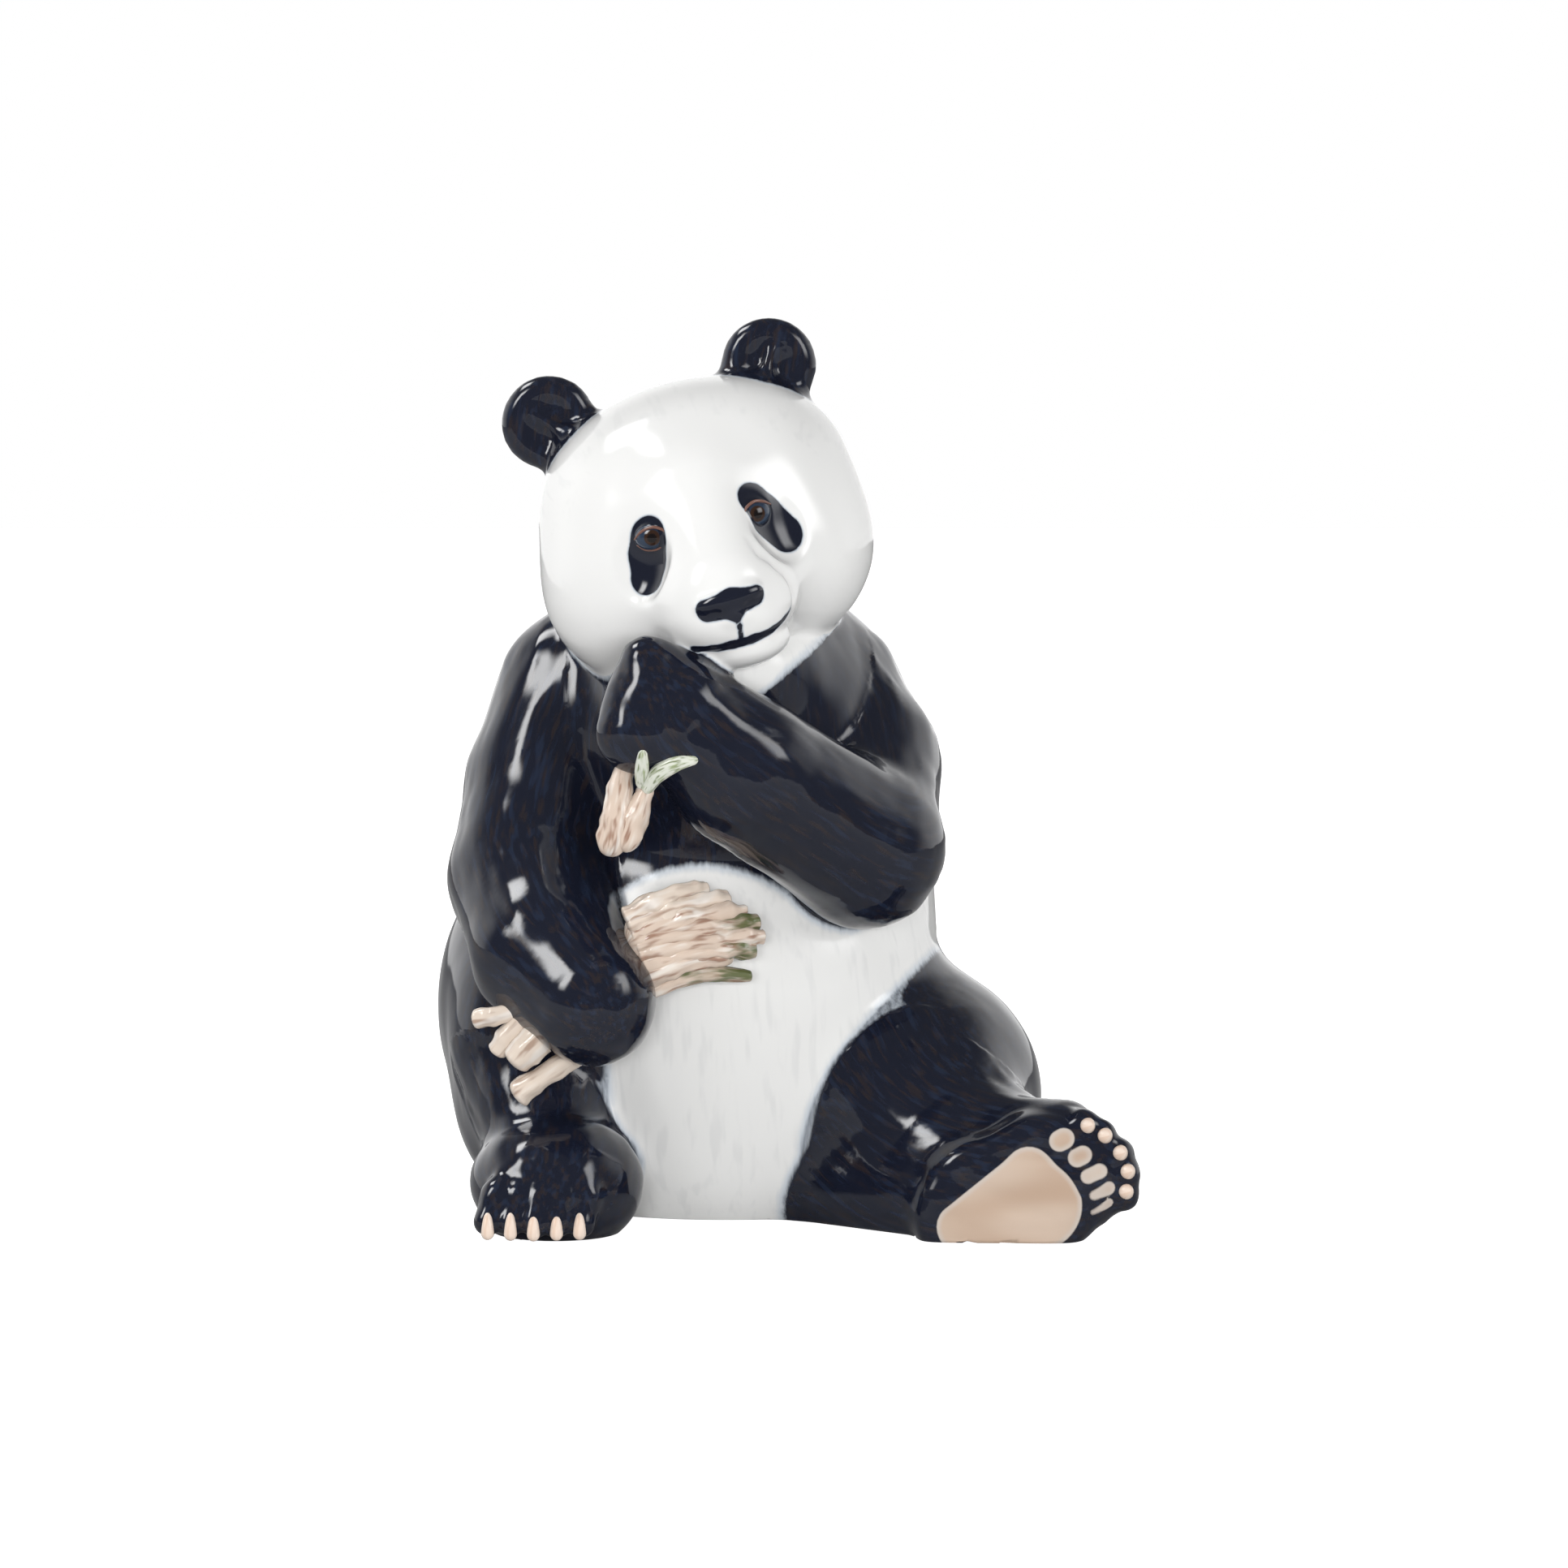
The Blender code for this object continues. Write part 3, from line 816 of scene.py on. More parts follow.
@dataclass
class Coat:
    """Where the dark glaze lies on the figure, in millimetres, and how ragged its border is, from 0 to 1."""

    belly_line: float = 72.2
    back_line: float = 84.0
    crease: float = 0.6
    ear_spill: float = 2.4
    collar_height: float = 106.4
    throat: tuple[Station, ...] = ((-18, -30, 110, 8), (-3, -25, 114, 7.0), (5, -21, 116.5, 6.0))
    throat_spill: float = 0.8
    torso_softness: float = 0.8
    limb_softness: float = 0.3
    jaw_softness: float = 0.15
    ear_softness: float = 0.5
    arch_middle: float = -16.0
    arch_spread: float = 50.0
    arch_depth: float = 6.0
    back_range: Pair = (-4.0, 26.0)
    back_wave: Pair = (1.5, 9.0)
    collar_slope: Pair = (0.61, 0.794)
    collar_right: float = -5.0
    collar_left: float = -14.0
    collar_foot: float = 88.0
    collar_back: float = -5.0

    def chest_band(self, points: Array) -> Array:
        """Distance below the dark band of the chest, whose edge arches in front and rises to the back.

        In front the edge falls by the square of the distance from the middle, and at the back it waves.

        Args:
            points: places, n by 3.

        Returns:
            Distances, n.
        """
        x, y, z = points.T
        back = ease(y, *self.back_range)
        arch = np.minimum((x - self.arch_middle) ** 2 / self.arch_spread, self.arch_depth) * (1 - back)
        height, length = self.back_wave
        rise = self.back_line - self.belly_line + height * np.sin(x / length)
        return self.belly_line - arch + rise * back - z

    def collar(self, points: Array) -> Array:
        """Distance to the dark shoulder below the jaw, whose edge rises to the right in front.

        Args:
            points: places, n by 3.

        Returns:
            Distances, n.
        """
        x, y, z = points.T
        run, rise = self.collar_slope
        below = rise * (z - self.collar_height) - run * (x - self.collar_right)
        return np.max([below, self.collar_foot - z, y - self.collar_back, self.collar_left - x], axis=0)

    def haunches(self) -> list[Form]:
        """Dark areas of both haunches, on the torso beside the legs."""
        return [Ball((-60, 6, 34), (32, 42, 46)), Ball((34, 4, 18), (39, 37, 33.5))]

    def paint(self, members: dict[str, Member], head: Head, points: Array) -> tuple[Array, Array]:
        """Distance from the border of the dark glaze, and how ragged the border is.

        The dark clay is the arms, the legs, and the torso above the band's edge and on the haunches. The
        white clay is the rest of the torso, the throat and the head. The border lies where a point is as
        far from one as from the other, so it follows the creases between limbs. The shoulder below the
        jaw, the ears, the eye patches, the nose and the mouth are dark over that.

        Args:
            members: parts of the body by name.
            head: the head, for its patches.
            points: places on the skin, n by 3.

        Returns:
            Distance, negative where the glaze is dark, and raggedness from 0 to 1.
        """
        torso = members["torso"].depth(points)
        skull = members["head"].depth(points)
        area = self.chest_band(points)
        for form in self.haunches():
            area = np.minimum(area, form.depth(points))
        limbs = np.full(len(points), 1e3)
        for name in ("left_arm", "right_arm", "left_leg", "right_leg"):
            limbs = np.minimum(limbs, members[name].depth(points))
        throat = Limb(list(self.throat)).depth(points)
        dark = np.minimum(limbs - self.crease, np.maximum(torso, area))
        white = np.minimum(np.minimum(skull, throat) - self.throat_spill, np.maximum(torso, -area))
        collar = self.collar(points)
        body = np.minimum(dark - white, collar)
        face = union_depth(head.patches(), points)
        ears = members["ears"].depth(points) - skull - self.ear_spill
        drawn = np.where(torso < limbs, self.torso_softness, self.limb_softness)
        drawn = np.where(np.minimum(skull, collar) < np.minimum(torso, limbs), self.jaw_softness, drawn)
        softness = np.where(ears < body, self.ear_softness, drawn)
        softness = np.where(face < np.minimum(ears, body), 0.0, softness)
        return np.minimum(np.minimum(body, ears), face), softness


@dataclass
class Skin:
    """One closed skin over the whole figure, refined where the carving is fine.

    The carved ripple is noise at the brush coordinates, in tufts and in smaller curls.
    """

    members: list[Member]
    head: Head
    coat: Coat
    foot: RightFoot
    cell: float = 1.23
    rounds: int = 4
    longest_pull: float = 2.5
    least_level: float = 0.3
    lift: float = 0.02
    probe: float = 0.15
    fine_crease: float = 2.2
    fine_front: float = 6.0
    fine_foot: float = 0.5
    tuft_length: float = 4.4
    curl_length: float = 2.0
    curl_share: float = 0.3
    tuft_squeeze: float = 2.4
    fine_spots: tuple[tuple[Point, float], ...] = field(
        default_factory=lambda: (
            (on_head(0, -34, -3), 23.0),
            ((-49, -46, 5), 15.0),
            ((62, -40, 14), 14.0),
            ((-27, -50, 106), 13.0),
        )
    )

    def depth(self, points: Array) -> Array:
        """Distance from the surface of the whole figure, negative inside it."""
        depth = self.members[0].depth(points)
        for member in self.members[1:]:
            depth = blend_min(depth, member.depth(points), member.join)
        return depth

    def slope(self, points: Array) -> tuple[Array, Array]:
        """Depth and its unit slope, from four probes around each point.

        Args:
            points: places, n by 3.

        Returns:
            Depths, n, and slopes, n by 3.
        """
        slope = np.zeros_like(points)
        depth = np.zeros(len(points))
        for corner in ((1, -1, -1), (-1, -1, 1), (-1, 1, -1), (1, 1, 1)):
            way = np.array(corner, float)
            value = self.depth(points + way * self.probe)
            slope += way * value[:, None]
            depth += value / 4
        return depth, unit(slope)

    def fused(self) -> bpy.types.Mesh:
        """Lay every form as a grid, fuse them into one skin of even cells and plane off the underside.

        Returns:
            Mesh in modeller's millimetres.
        """
        points: list[Array] = []
        faces: Faces = []
        count = 0
        for member in self.members:
            for form in member.forms:
                for own_points, own_faces in form.shells():
                    points.append(own_points)
                    faces += [tuple(index + count for index in face) for face in own_faces]
                    count += len(own_points)
        heap = new_object("clay", np.vstack(points), faces)
        remesh = heap.modifiers.new("fuse", "REMESH")
        remesh.mode = "VOXEL"
        remesh.voxel_size = self.cell
        evaluated = heap.evaluated_get(bpy.context.evaluated_depsgraph_get())
        mesh = bpy.data.meshes.new_from_object(evaluated)
        bpy.data.objects.remove(heap)
        work = bmesh.new()
        work.from_mesh(mesh)
        everything = work.verts[:] + work.edges[:] + work.faces[:]
        bmesh.ops.bisect_plane(
            work, geom=everything, dist=0.05, plane_co=(0, 0, 0), plane_no=(0, 0, -1), clear_outer=True
        )
        rim = [edge for edge in work.edges if edge.is_boundary]
        bmesh.ops.holes_fill(work, edges=rim, sides=0)
        work.to_mesh(mesh)
        work.free()
        return mesh

    def settled(self, mesh: bpy.types.Mesh) -> Array:
        """Draw the skin onto the figure's surface, evening out its cells between the pulls.

        Points on the underside slide in the plane of the table.

        Args:
            mesh: the skin, changed in place.

        Returns:
            Points of the skin, n by 3.
        """
        points = read_points(mesh)
        pairs = read_pairs(mesh)
        neighbours = np.bincount(pairs.ravel(), minlength=len(points))
        grounded = points[:, 2] < GROUNDED
        for _ in range(self.rounds):
            depth, slope = self.slope(points)
            middle = np.stack([sum_around(pairs, points[:, axis]) for axis in range(3)], axis=1)
            level = np.maximum(np.linalg.norm(slope[:, :2], axis=1), self.least_level)
            level = np.where(grounded, level, 1.0)
            drift = middle / neighbours[:, None] - points
            drift -= (drift * slope).sum(1, keepdims=True) * slope
            pull = np.clip(depth / level**2, -self.longest_pull, self.longest_pull)
            step = drift / 2 - pull[:, None] * slope
            step[grounded, 2] = 0.0
            points = points + step
            points[:, 2] = np.maximum(points[:, 2], 0.0)
        mesh.vertices.foreach_set("co", points.ravel())
        mesh.update()
        return points

    def carved(self, middles: Array) -> Array:
        """Which faces need finer cells: near the fine spots and in the creases on the front.

        Args:
            middles: middle of each face, n by 3.

        Returns:
            True for each face to refine.
        """
        wanted = np.zeros(len(middles), bool)
        for spot, radius in self.fine_spots:
            wanted |= ((middles - np.array(spot)) ** 2).sum(1) < radius**2
        depths = np.sort([member.depth(middles) for member in self.members], axis=0)
        wanted |= (depths[1] - depths[0] < self.fine_crease) & (middles[:, 1] < self.fine_front)
        return wanted & (middles[:, 2] > self.fine_foot)

    def refined(self, mesh: bpy.types.Mesh) -> None:
        """Cut the faces that need it into four.

        Args:
            mesh: the skin, changed in place.
        """
        middles = np.empty(len(mesh.polygons) * 3)
        mesh.polygons.foreach_get("center", middles)
        wanted = np.flatnonzero(self.carved(middles.reshape(-1, 3)))
        work = bmesh.new()
        work.from_mesh(mesh)
        work.faces.ensure_lookup_table()
        edges = {edge for index in wanted.tolist() for edge in work.faces[index].edges}
        bmesh.ops.subdivide_edges(work, edges=list(edges), cuts=1, use_grid_fill=True)
        work.to_mesh(mesh)
        work.free()

    def strokes(self, points: Array) -> tuple[Array, Array]:
        """Brush coordinates and height of the carved ripple at each point, by its nearest member.

        Args:
            points: places, n by 3.

        Returns:
            Coordinates, n by 3, and heights, n.
        """
        nearest = np.argmin(np.array([member.depth(points) for member in self.members]), axis=0)
        grain = np.zeros_like(points)
        ripple = np.zeros(len(points))
        for index, member in enumerate(self.members):
            own = nearest == index
            grain[own] = grain_along(member.strokes, points[own])
            ripple[own] = member.ripple
        tufts = grain * np.array((1.0, 1.0, self.tuft_squeeze))
        curls = self.curl_share * lattice_noise(tufts / self.curl_length, 2)
        return grain, (lattice_noise(tufts / self.tuft_length, 1) + curls) * ripple

    def build(self) -> bpy.types.Object:
        """Make the skin with its relief and the values that its finish reads.

        Returns:
            The finished object, in metres.
        """
        mesh = self.fused()
        self.settled(mesh)
        self.refined(mesh)
        points = self.settled(mesh)
        _, slope = self.slope(points)
        grain, ripple = self.strokes(points)
        grounded = points[:, 2] < GROUNDED
        ripple[grounded] = 0.0
        carved = points + ripple[:, None] * slope
        carved[:, 2] = np.where(grounded, 0.0, np.maximum(carved[:, 2], self.lift))
        paint, softness = self.coat.paint({member.name: member for member in self.members}, self.head, points)
        write_points(mesh, carved)
        keep_values(mesh, PAINT, even_distance(points, paint, read_pairs(mesh)))
        keep_values(mesh, SOFTNESS, softness)
        keep_values(mesh, PAD, union_depth(self.foot.pads(), points))
        keep_vectors(mesh, GRAIN, grain)
        skin = bpy.data.objects.new("porcelain_skin", mesh)
        bpy.context.scene.collection.objects.link(skin)
        mesh.shade_smooth()
        return skin


@dataclass
class Roll:
    """A fine roll of clay: a round profile carried along a smooth path, with knots, lumps and grooves."""

    name: str
    stations: list[Station]
    rings: int = 48
    sides: int = 28
    flatness: float = 1.0
    flat_way: Point = (0.0, -1.0, 0.0)
    knots: tuple[float, ...] = ()
    knot_height: float = 0.5
    knot_width: float = 0.06
    groove: float = 0.0
    groove_spacing: float = 0.9
    lump: float = 0.0
    lump_pace: Point = (0.4, 0.4, 2.2)
    stretch: float = 0.2
    blunt: float = 1.0
    seed: int = 0

    def shell(self) -> Shell:
        """Work out the roll.

        A ring's radius is the path's own radius, plus a round swelling at each knot, plus grooves and
        lumps from noise that is long along the path, all times a quarter circle near each end. Blunt is
        the length of that end over the path's radius. Rings are bunched toward the ends. Flat rolls are
        pressed to a share of their thickness along one way.

        Returns:
            Closed shell with brush coordinates.
        """
        path = smooth_path(np.array(self.stations, float), self.rings)
        share = np.linspace(0, 1, self.rings)
        bunched = (1 - np.cos(math.pi * share)) / 2
        path = np.stack([np.interp(bunched, share, path[:, axis]) for axis in range(4)], axis=1)
        centres = path[:, :3]
        along, across, upright = carried_frames(centres)
        length = np.r_[0, np.cumsum(np.linalg.norm(np.diff(centres, axis=0), axis=1))]
        gap = np.minimum(length, length[-1] - length)
        cap = np.maximum(path[:, 3] * self.blunt, 1e-3)
        rounding = np.sqrt(np.clip(1 - np.clip(1 - gap / cap, 0, 1) ** 2, 0.0, 1.0))
        place = length / length[-1]
        swelling = sum((np.exp(-(((place - knot) / self.knot_width) ** 2)) for knot in self.knots), 0.0)
        radius = path[:, 3] + self.knot_height * swelling
        angle = np.linspace(0, 2 * math.pi, self.sides, endpoint=False)
        cosine, sine = np.cos(angle), np.sin(angle)
        ring = cosine[None, :, None] * across[:, None] + sine[None, :, None] * upright[:, None]
        sideways = [(radius[:, None] * cosine).ravel(), (radius[:, None] * sine).ravel()]
        ways = np.stack([*sideways, np.repeat(length, self.sides) * self.stretch], axis=1)
        shape = (self.rings, self.sides)
        waves = lattice_noise(ways / self.groove_spacing + GROOVE_SHIFT * self.seed, self.seed)
        lumps = lattice_noise(ways * self.lump_pace + LUMP_SHIFT * self.seed, self.seed + LUMP_SEED)
        relief = self.groove * waves.reshape(shape) + self.lump * lumps.reshape(shape)
        offsets = ring * ((radius[:, None] + relief) * rounding[:, None])[:, :, None]
        thin = unit(np.array(self.flat_way))
        offsets -= (1 - self.flatness) * (offsets @ thin)[:, :, None] * thin
        inner = slice(1, self.rings - 1)
        points, faces = closed_rings(centres[inner, None] + offsets[inner], centres[0], centres[-1])
        poles = np.array(((0.0, 0.0, 0.0), (0.0, 0.0, self.stretch * length[-1])))
        grain = np.vstack([ways.reshape(*shape, 3)[inner].reshape(-1, 3), poles])
        run = np.r_[np.repeat(place[inner], self.sides), 0.0, 1.0]
        return Shell(points, faces, grain + GRAIN_SHIFT * self.seed, run)


class Bark(Enum):
    """Finish of a piece of bamboo."""

    STALK = "stalk"
    CUT = "cut"
    STICK = "stick"
    BUTT = "butt"
    LEAF = "leaf"


@dataclass
class Sprig:
    """Short knotted stalk below the raised paw, with a branch beside it and two leaves out of its top."""

    stalk: tuple[Station, ...] = (
        (-30.6, -47.6, 96.0, 1.8),
        (-31.8, -48.6, 90.4, 2.2),
        (-32.8, -49.0, 84.6, 2.8),
        (-33.5, -49.0, 79.8, 3.2),
        (-34.2, -48.8, 77.0, 2.6),
    )
    branch: tuple[Station, ...] = (
        (-26.4, -49.0, 91.2, 1.7),
        (-28.2, -49.4, 86.4, 2.4),
        (-30.3, -49.4, 81.2, 2.8),
        (-31.5, -49.0, 78.0, 2.5),
    )
    upright: tuple[Station, ...] = (
        (-27.8, -50.6, 90.6, 1.0),
        (-27.5, -53.6, 94.6, 1.4),
        (-27.2, -56.0, 98.6, 0.8),
    )
    side: tuple[Station, ...] = (
        (-27.0, -50.8, 89.8, 1.2),
        (-24.2, -53.6, 93.8, 1.7),
        (-20.6, -55.0, 95.8, 1.5),
        (-16.6, -55.2, 96.5, 0.7),
    )
    groove: float = 0.2
    lump: float = 0.45

    def rolls(self) -> list[tuple[Roll, Bark]]:
        """Stalk, branch and leaves.

        Returns:
            Each roll with its finish.
        """
        relief = {"groove": self.groove, "lump": self.lump}
        stalk = Roll("sprig_stalk", list(self.stalk), knots=(0.3, 0.62), knot_height=0.3, seed=3, **relief)
        branch = Roll("sprig_branch", list(self.branch), knots=(0.5,), knot_height=0.2, seed=6, **relief)
        upright = Roll("sprig_leaf_upright", list(self.upright), flatness=0.6, groove=0.15, seed=4)
        side = Roll("sprig_leaf_side", list(self.side), flatness=0.6, groove=0.18, seed=5)
        return [(stalk, Bark.STALK), (branch, Bark.STALK), (upright, Bark.LEAF), (side, Bark.LEAF)]

    def build(self, barks: dict[Bark, bpy.types.Material]) -> None:
        """Lay and dress the stalk, the branch and the leaves."""
        build_rolls(self.rolls(), barks)


@dataclass
class Bundle:
    """Cut bamboo held to the belly: stalks fanning right, and their knotted butts left of the paw."""

    tips: tuple[Station, ...] = (
        (-15.0, -29.0, 68.4, 1.5),
        (-10.6, -29.6, 66.4, 1.7),
        (-7.2, -31.2, 64.4, 1.6),
        (-4.6, -32.2, 62.0, 1.7),
        (-3.6, -33.0, 59.4, 1.7),
        (-5.4, -33.2, 57.2, 1.6),
        (-10.0, -33.4, 55.8, 1.6),
    )
    grip_top: Point = (-31.5, -34.0, 63.0)
    grip_foot: Point = (-27.0, -36.5, 51.5)
    crown: Point = (0.0, -1.8, 1.2)
    held_radius: float = 2.4
    crown_radius: float = 2.1
    knotty: int = 2
    green_rows: tuple[int, ...] = (3, 5)

    def rolls(self) -> list[tuple[Roll, Bark]]:
        """Fanned stalks, the loose stick below them and the butts.

        Returns:
            Each roll with its finish.
        """
        rolls = []
        grip_top, grip_foot = np.array(self.grip_top), np.array(self.grip_foot)
        for row, (*place, radius) in enumerate(self.tips):
            tip = np.array(place)
            held = grip_top + (grip_foot - grip_top) * row / (len(self.tips) - 1)
            crown = (held + tip) / 2 + np.array(self.crown)
            roll = Roll(
                f"bundle_stalk_{row + 1}",
                [(*held, self.held_radius), (*crown, self.crown_radius), (*tip, radius)],
                rings=64,
                knots=(0.35 + 0.07 * row, 0.86),
                knot_height=0.4,
                groove=0.35,
                lump=0.5,
                blunt=0.4,
                seed=10 + row,
            )
            finish = Bark.CUT if row in self.green_rows else Bark.STALK
            rolls.append((roll, Bark.BUTT if row < self.knotty else finish))
        loose = {
            "bundle_core": ([(-31, -33, 57, 5.5), (-20, -31, 60, 5.0), (-9, -29.5, 60, 3.2)], 20),
            "bundle_stick": ([(-30, -35, 47.5, 1.9), (-17, -34.9, 52.0, 1.7), (-6.2, -33.6, 51.6, 1.2)], 21),
            "butt_stick": ([(-47, -34.5, 45.8, 1.8), (-55, -34.0, 44.2, 1.8), (-61.4, -33.0, 42.6, 2.0)], 24),
            "butt_upper": ([(-49, -34, 45, 2.2), (-54, -34, 40, 2.1), (-57.0, -33.4, 36.0, 2.1)], 25),
            "butt_thick": ([(-44, -35, 43, 3.6), (-50, -36, 37.8, 3.5), (-53.4, -36, 34.2, 3.0)], 22),
            "butt_low": ([(-40, -34, 36.6, 2.5), (-47.4, -35.4, 31.8, 2.3), (-53.2, -35.4, 28.0, 2.9)], 23),
        }
        for name, (path, seed) in loose.items():
            relief = {"knot_height": 0.2, "groove": 0.2, "lump": 0.35, "blunt": 0.5}
            roll = Roll(name, path, knots=(0.7,), seed=seed, **relief)
            finish = Bark.STICK if name == "bundle_stick" else Bark.STALK
            rolls.append((roll, Bark.BUTT if name.startswith("butt") else finish))
        return rolls

    def build(self, barks: dict[Bark, bpy.types.Material]) -> None:
        """Lay and dress every roll of the bundle."""
        build_rolls(self.rolls(), barks)


@dataclass
class Eyes:
    """Glossy eyes set in the hollows, with lids laid round them."""

    ball: Point = (3.45, 2.45, 2.6)
    rows: int = 40
    sides: int = 48
    left_gaze: Point = (-10.7, -28.9, 5.8)
    right_gaze: Point = (10.6, -29.8, 5.4)

    def lids(self) -> dict[str, list[Station]]:
        """Stations of the lids, drawn from the inner to the outer corner.

        Returns:
            Stations by the name of the lid.
        """
        lines = {
            "lid_left_upper": (
                (-14.0, -25.9, 5.9, 0.15),
                (-12.3, -27.3, 7.3, 0.30),
                (-10.2, -28.2, 7.8, 0.32),
                (-8.5, -29.1, 7.1, 0.30),
                (-7.6, -30.0, 6.0, 0.15),
            ),
            "lid_left_lower": (
                (-13.7, -24.6, 4.6, 0.12),
                (-12.2, -25.8, 3.4, 0.22),
                (-10.2, -27.5, 3.2, 0.22),
                (-8.4, -29.1, 4.0, 0.12),
            ),
            "lid_right_upper": (
                (7.6, -30.6, 5.7, 0.15),
                (8.6, -29.6, 7.1, 0.30),
                (10.5, -28.7, 7.8, 0.32),
                (12.3, -27.6, 7.2, 0.30),
                (13.7, -26.0, 6.1, 0.15),
            ),
        }
        return {name: head_stations(line) for name, line in lines.items()}

    def eyeball(self, name: str, centre: Point, gaze: Point, yaw: float) -> bpy.types.Object:
        """Eyeball of one eye, with each point's distance from the middle of the iris.

        Args:
            name: name of the piece.
            centre: middle of the eyeball, from the centre of the skull.
            gaze: middle of the iris, from the centre of the skull.
            yaw: turn about the skull's upright way, in degrees.

        Returns:
            The object, in metres.
        """
        matrix = HEAD_TURN @ turned(0, yaw, 0)
        hub = np.array(on_head(*centre))
        points, faces = ellipsoid_grid(hub, np.array(self.ball), matrix, self.rows, self.sides)
        made = new_object(name, points, faces)
        write_points(made.data, points)
        keep_values(made.data, IRIS, np.linalg.norm(points - np.array(on_head(*gaze)), axis=1))
        made.data.shade_smooth()
        return made

    def build(self, head: Head, eye: bpy.types.Material, lid: bpy.types.Material) -> None:
        """Lay and dress both eyes and their lids.

        Args:
            head: the head that they sit in.
            eye: finish of the eyeballs.
            lid: finish of the lids.
        """
        dress(self.eyeball("eye_left", head.left_eye, self.left_gaze, head.left_yaw), eye)
        dress(self.eyeball("eye_right", head.right_eye, self.right_gaze, head.right_yaw), eye)
        for name, stations in self.lids().items():
            dress(roll_object(Roll(name, stations, rings=32, sides=16)), lid)


def new_object(name: str, points: Array, faces: Faces) -> bpy.types.Object:
    """Object in the scene from points and faces as they are.

    Args:
        name: name of the object and its mesh.
        points: places, n by 3.
        faces: point numbers of each face.

    Returns:
        The object.
    """
    mesh = bpy.data.meshes.new(name)
    mesh.from_pydata(points.tolist(), [], faces)
    mesh.update()
    made = bpy.data.objects.new(name, mesh)
    bpy.context.scene.collection.objects.link(made)
    return made


def read_points(mesh: bpy.types.Mesh) -> Array:
    """Points of a mesh, n by 3."""
    flat = np.empty(len(mesh.vertices) * 3)
    mesh.vertices.foreach_get("co", flat)
    return flat.reshape(-1, 3)


def read_pairs(mesh: bpy.types.Mesh) -> Array:
    """Points that each edge of a mesh joins, m by 2."""
    ends = np.empty(len(mesh.edges) * 2, int)
    mesh.edges.foreach_get("vertices", ends)
    return ends.reshape(-1, 2)


def write_points(mesh: bpy.types.Mesh, points: Array) -> None:
    """Put points that are in modeller's millimetres into a mesh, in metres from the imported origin."""
    mesh.vertices.foreach_set("co", ((points - np.array(FOOTPRINT_MIDDLE)) * MM).ravel())
    mesh.update()


def sum_around(pairs: Array, values: Array) -> Array:
    """Sum at each point of the values that its neighbours have."""
    first, second = pairs.T
    count = len(values)
    return np.bincount(first, values[second], count) + np.bincount(second, values[first], count)


def even_distance(points: Array, values: Array, pairs: Array) -> Array:
    """Distances from a border, evened out so that they grow by one along the skin.

    The slope at a point is the mean over its edges of the change along the edge, times the root of two,
    and the value is divided by it.

    Args:
        points: places, n by 3.
        values: distances through the air, n.
        pairs: pairs of neighbours, m by 2.

    Returns:
        Distances along the skin, n.
    """
    first, second = pairs.T
    run = np.linalg.norm(points[first] - points[second], axis=1)
    change = ((values[first] - values[second]) / np.maximum(run, 1e-6)) ** 2
    total = np.bincount(first, change, len(points)) + np.bincount(second, change, len(points))
    count = np.bincount(pairs.ravel(), minlength=len(points))
    slope = np.sqrt(2 * total / count)
    for _ in range(3):
        slope = (slope + sum_around(pairs, slope) / count) / 2
    return values / np.clip(slope, 0.2, 2.0)


def keep_values(mesh: bpy.types.Mesh, name: str, values: Array) -> None:
    """Keep one number on each point of a mesh."""
    mesh.attributes.new(name, "FLOAT", "POINT").data.foreach_set("value", values.astype(np.float32))


def keep_vectors(mesh: bpy.types.Mesh, name: str, vectors: Array) -> None:
    """Keep one vector on each point of a mesh."""
    kept = mesh.attributes.new(name, "FLOAT_VECTOR", "POINT")
    kept.data.foreach_set("vector", vectors.astype(np.float32).ravel())


def roll_object(roll: Roll) -> bpy.types.Object:
    """Object of a fine roll, in metres, with its brush coordinates.

    Args:
        roll: the roll.

    Returns:
        The object.
    """
    shell = roll.shell()
    made = new_object(roll.name, shell.points, shell.faces)
    write_points(made.data, shell.points)
    keep_vectors(made.data, GRAIN, shell.grain)
    keep_values(made.data, RUN, shell.run)
    made.data.shade_smooth()
    return made


def dress(piece: bpy.types.Object, material: bpy.types.Material) -> None:
    """Give a piece its material, its body and its slot, and report it.

    Args:
        piece: the piece.
        material: its finish.
    """
    piece.data.materials.clear()
    piece.data.materials.append(material)
    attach(piece, BODY)
    mesh = piece.data
    log.info("%s: %d points, %d faces, %s", piece.name, len(mesh.vertices), len(mesh.polygons), material.name)


def build_claws(foot: str, paths: list[list[Station]], glaze: bpy.types.Material) -> None:
    """Lay and dress the claws of one foot."""
    for number, stations in enumerate(paths, 1):
        dress(roll_object(Roll(f"{foot}_{number}", stations, rings=24, sides=20)), glaze)


def build_rolls(rolls: list[tuple[Roll, Bark]], barks: dict[Bark, bpy.types.Material]) -> None:
    """Lay and dress rolls of bamboo."""
    for roll, bark in rolls:
        dress(roll_object(roll), barks[bark])


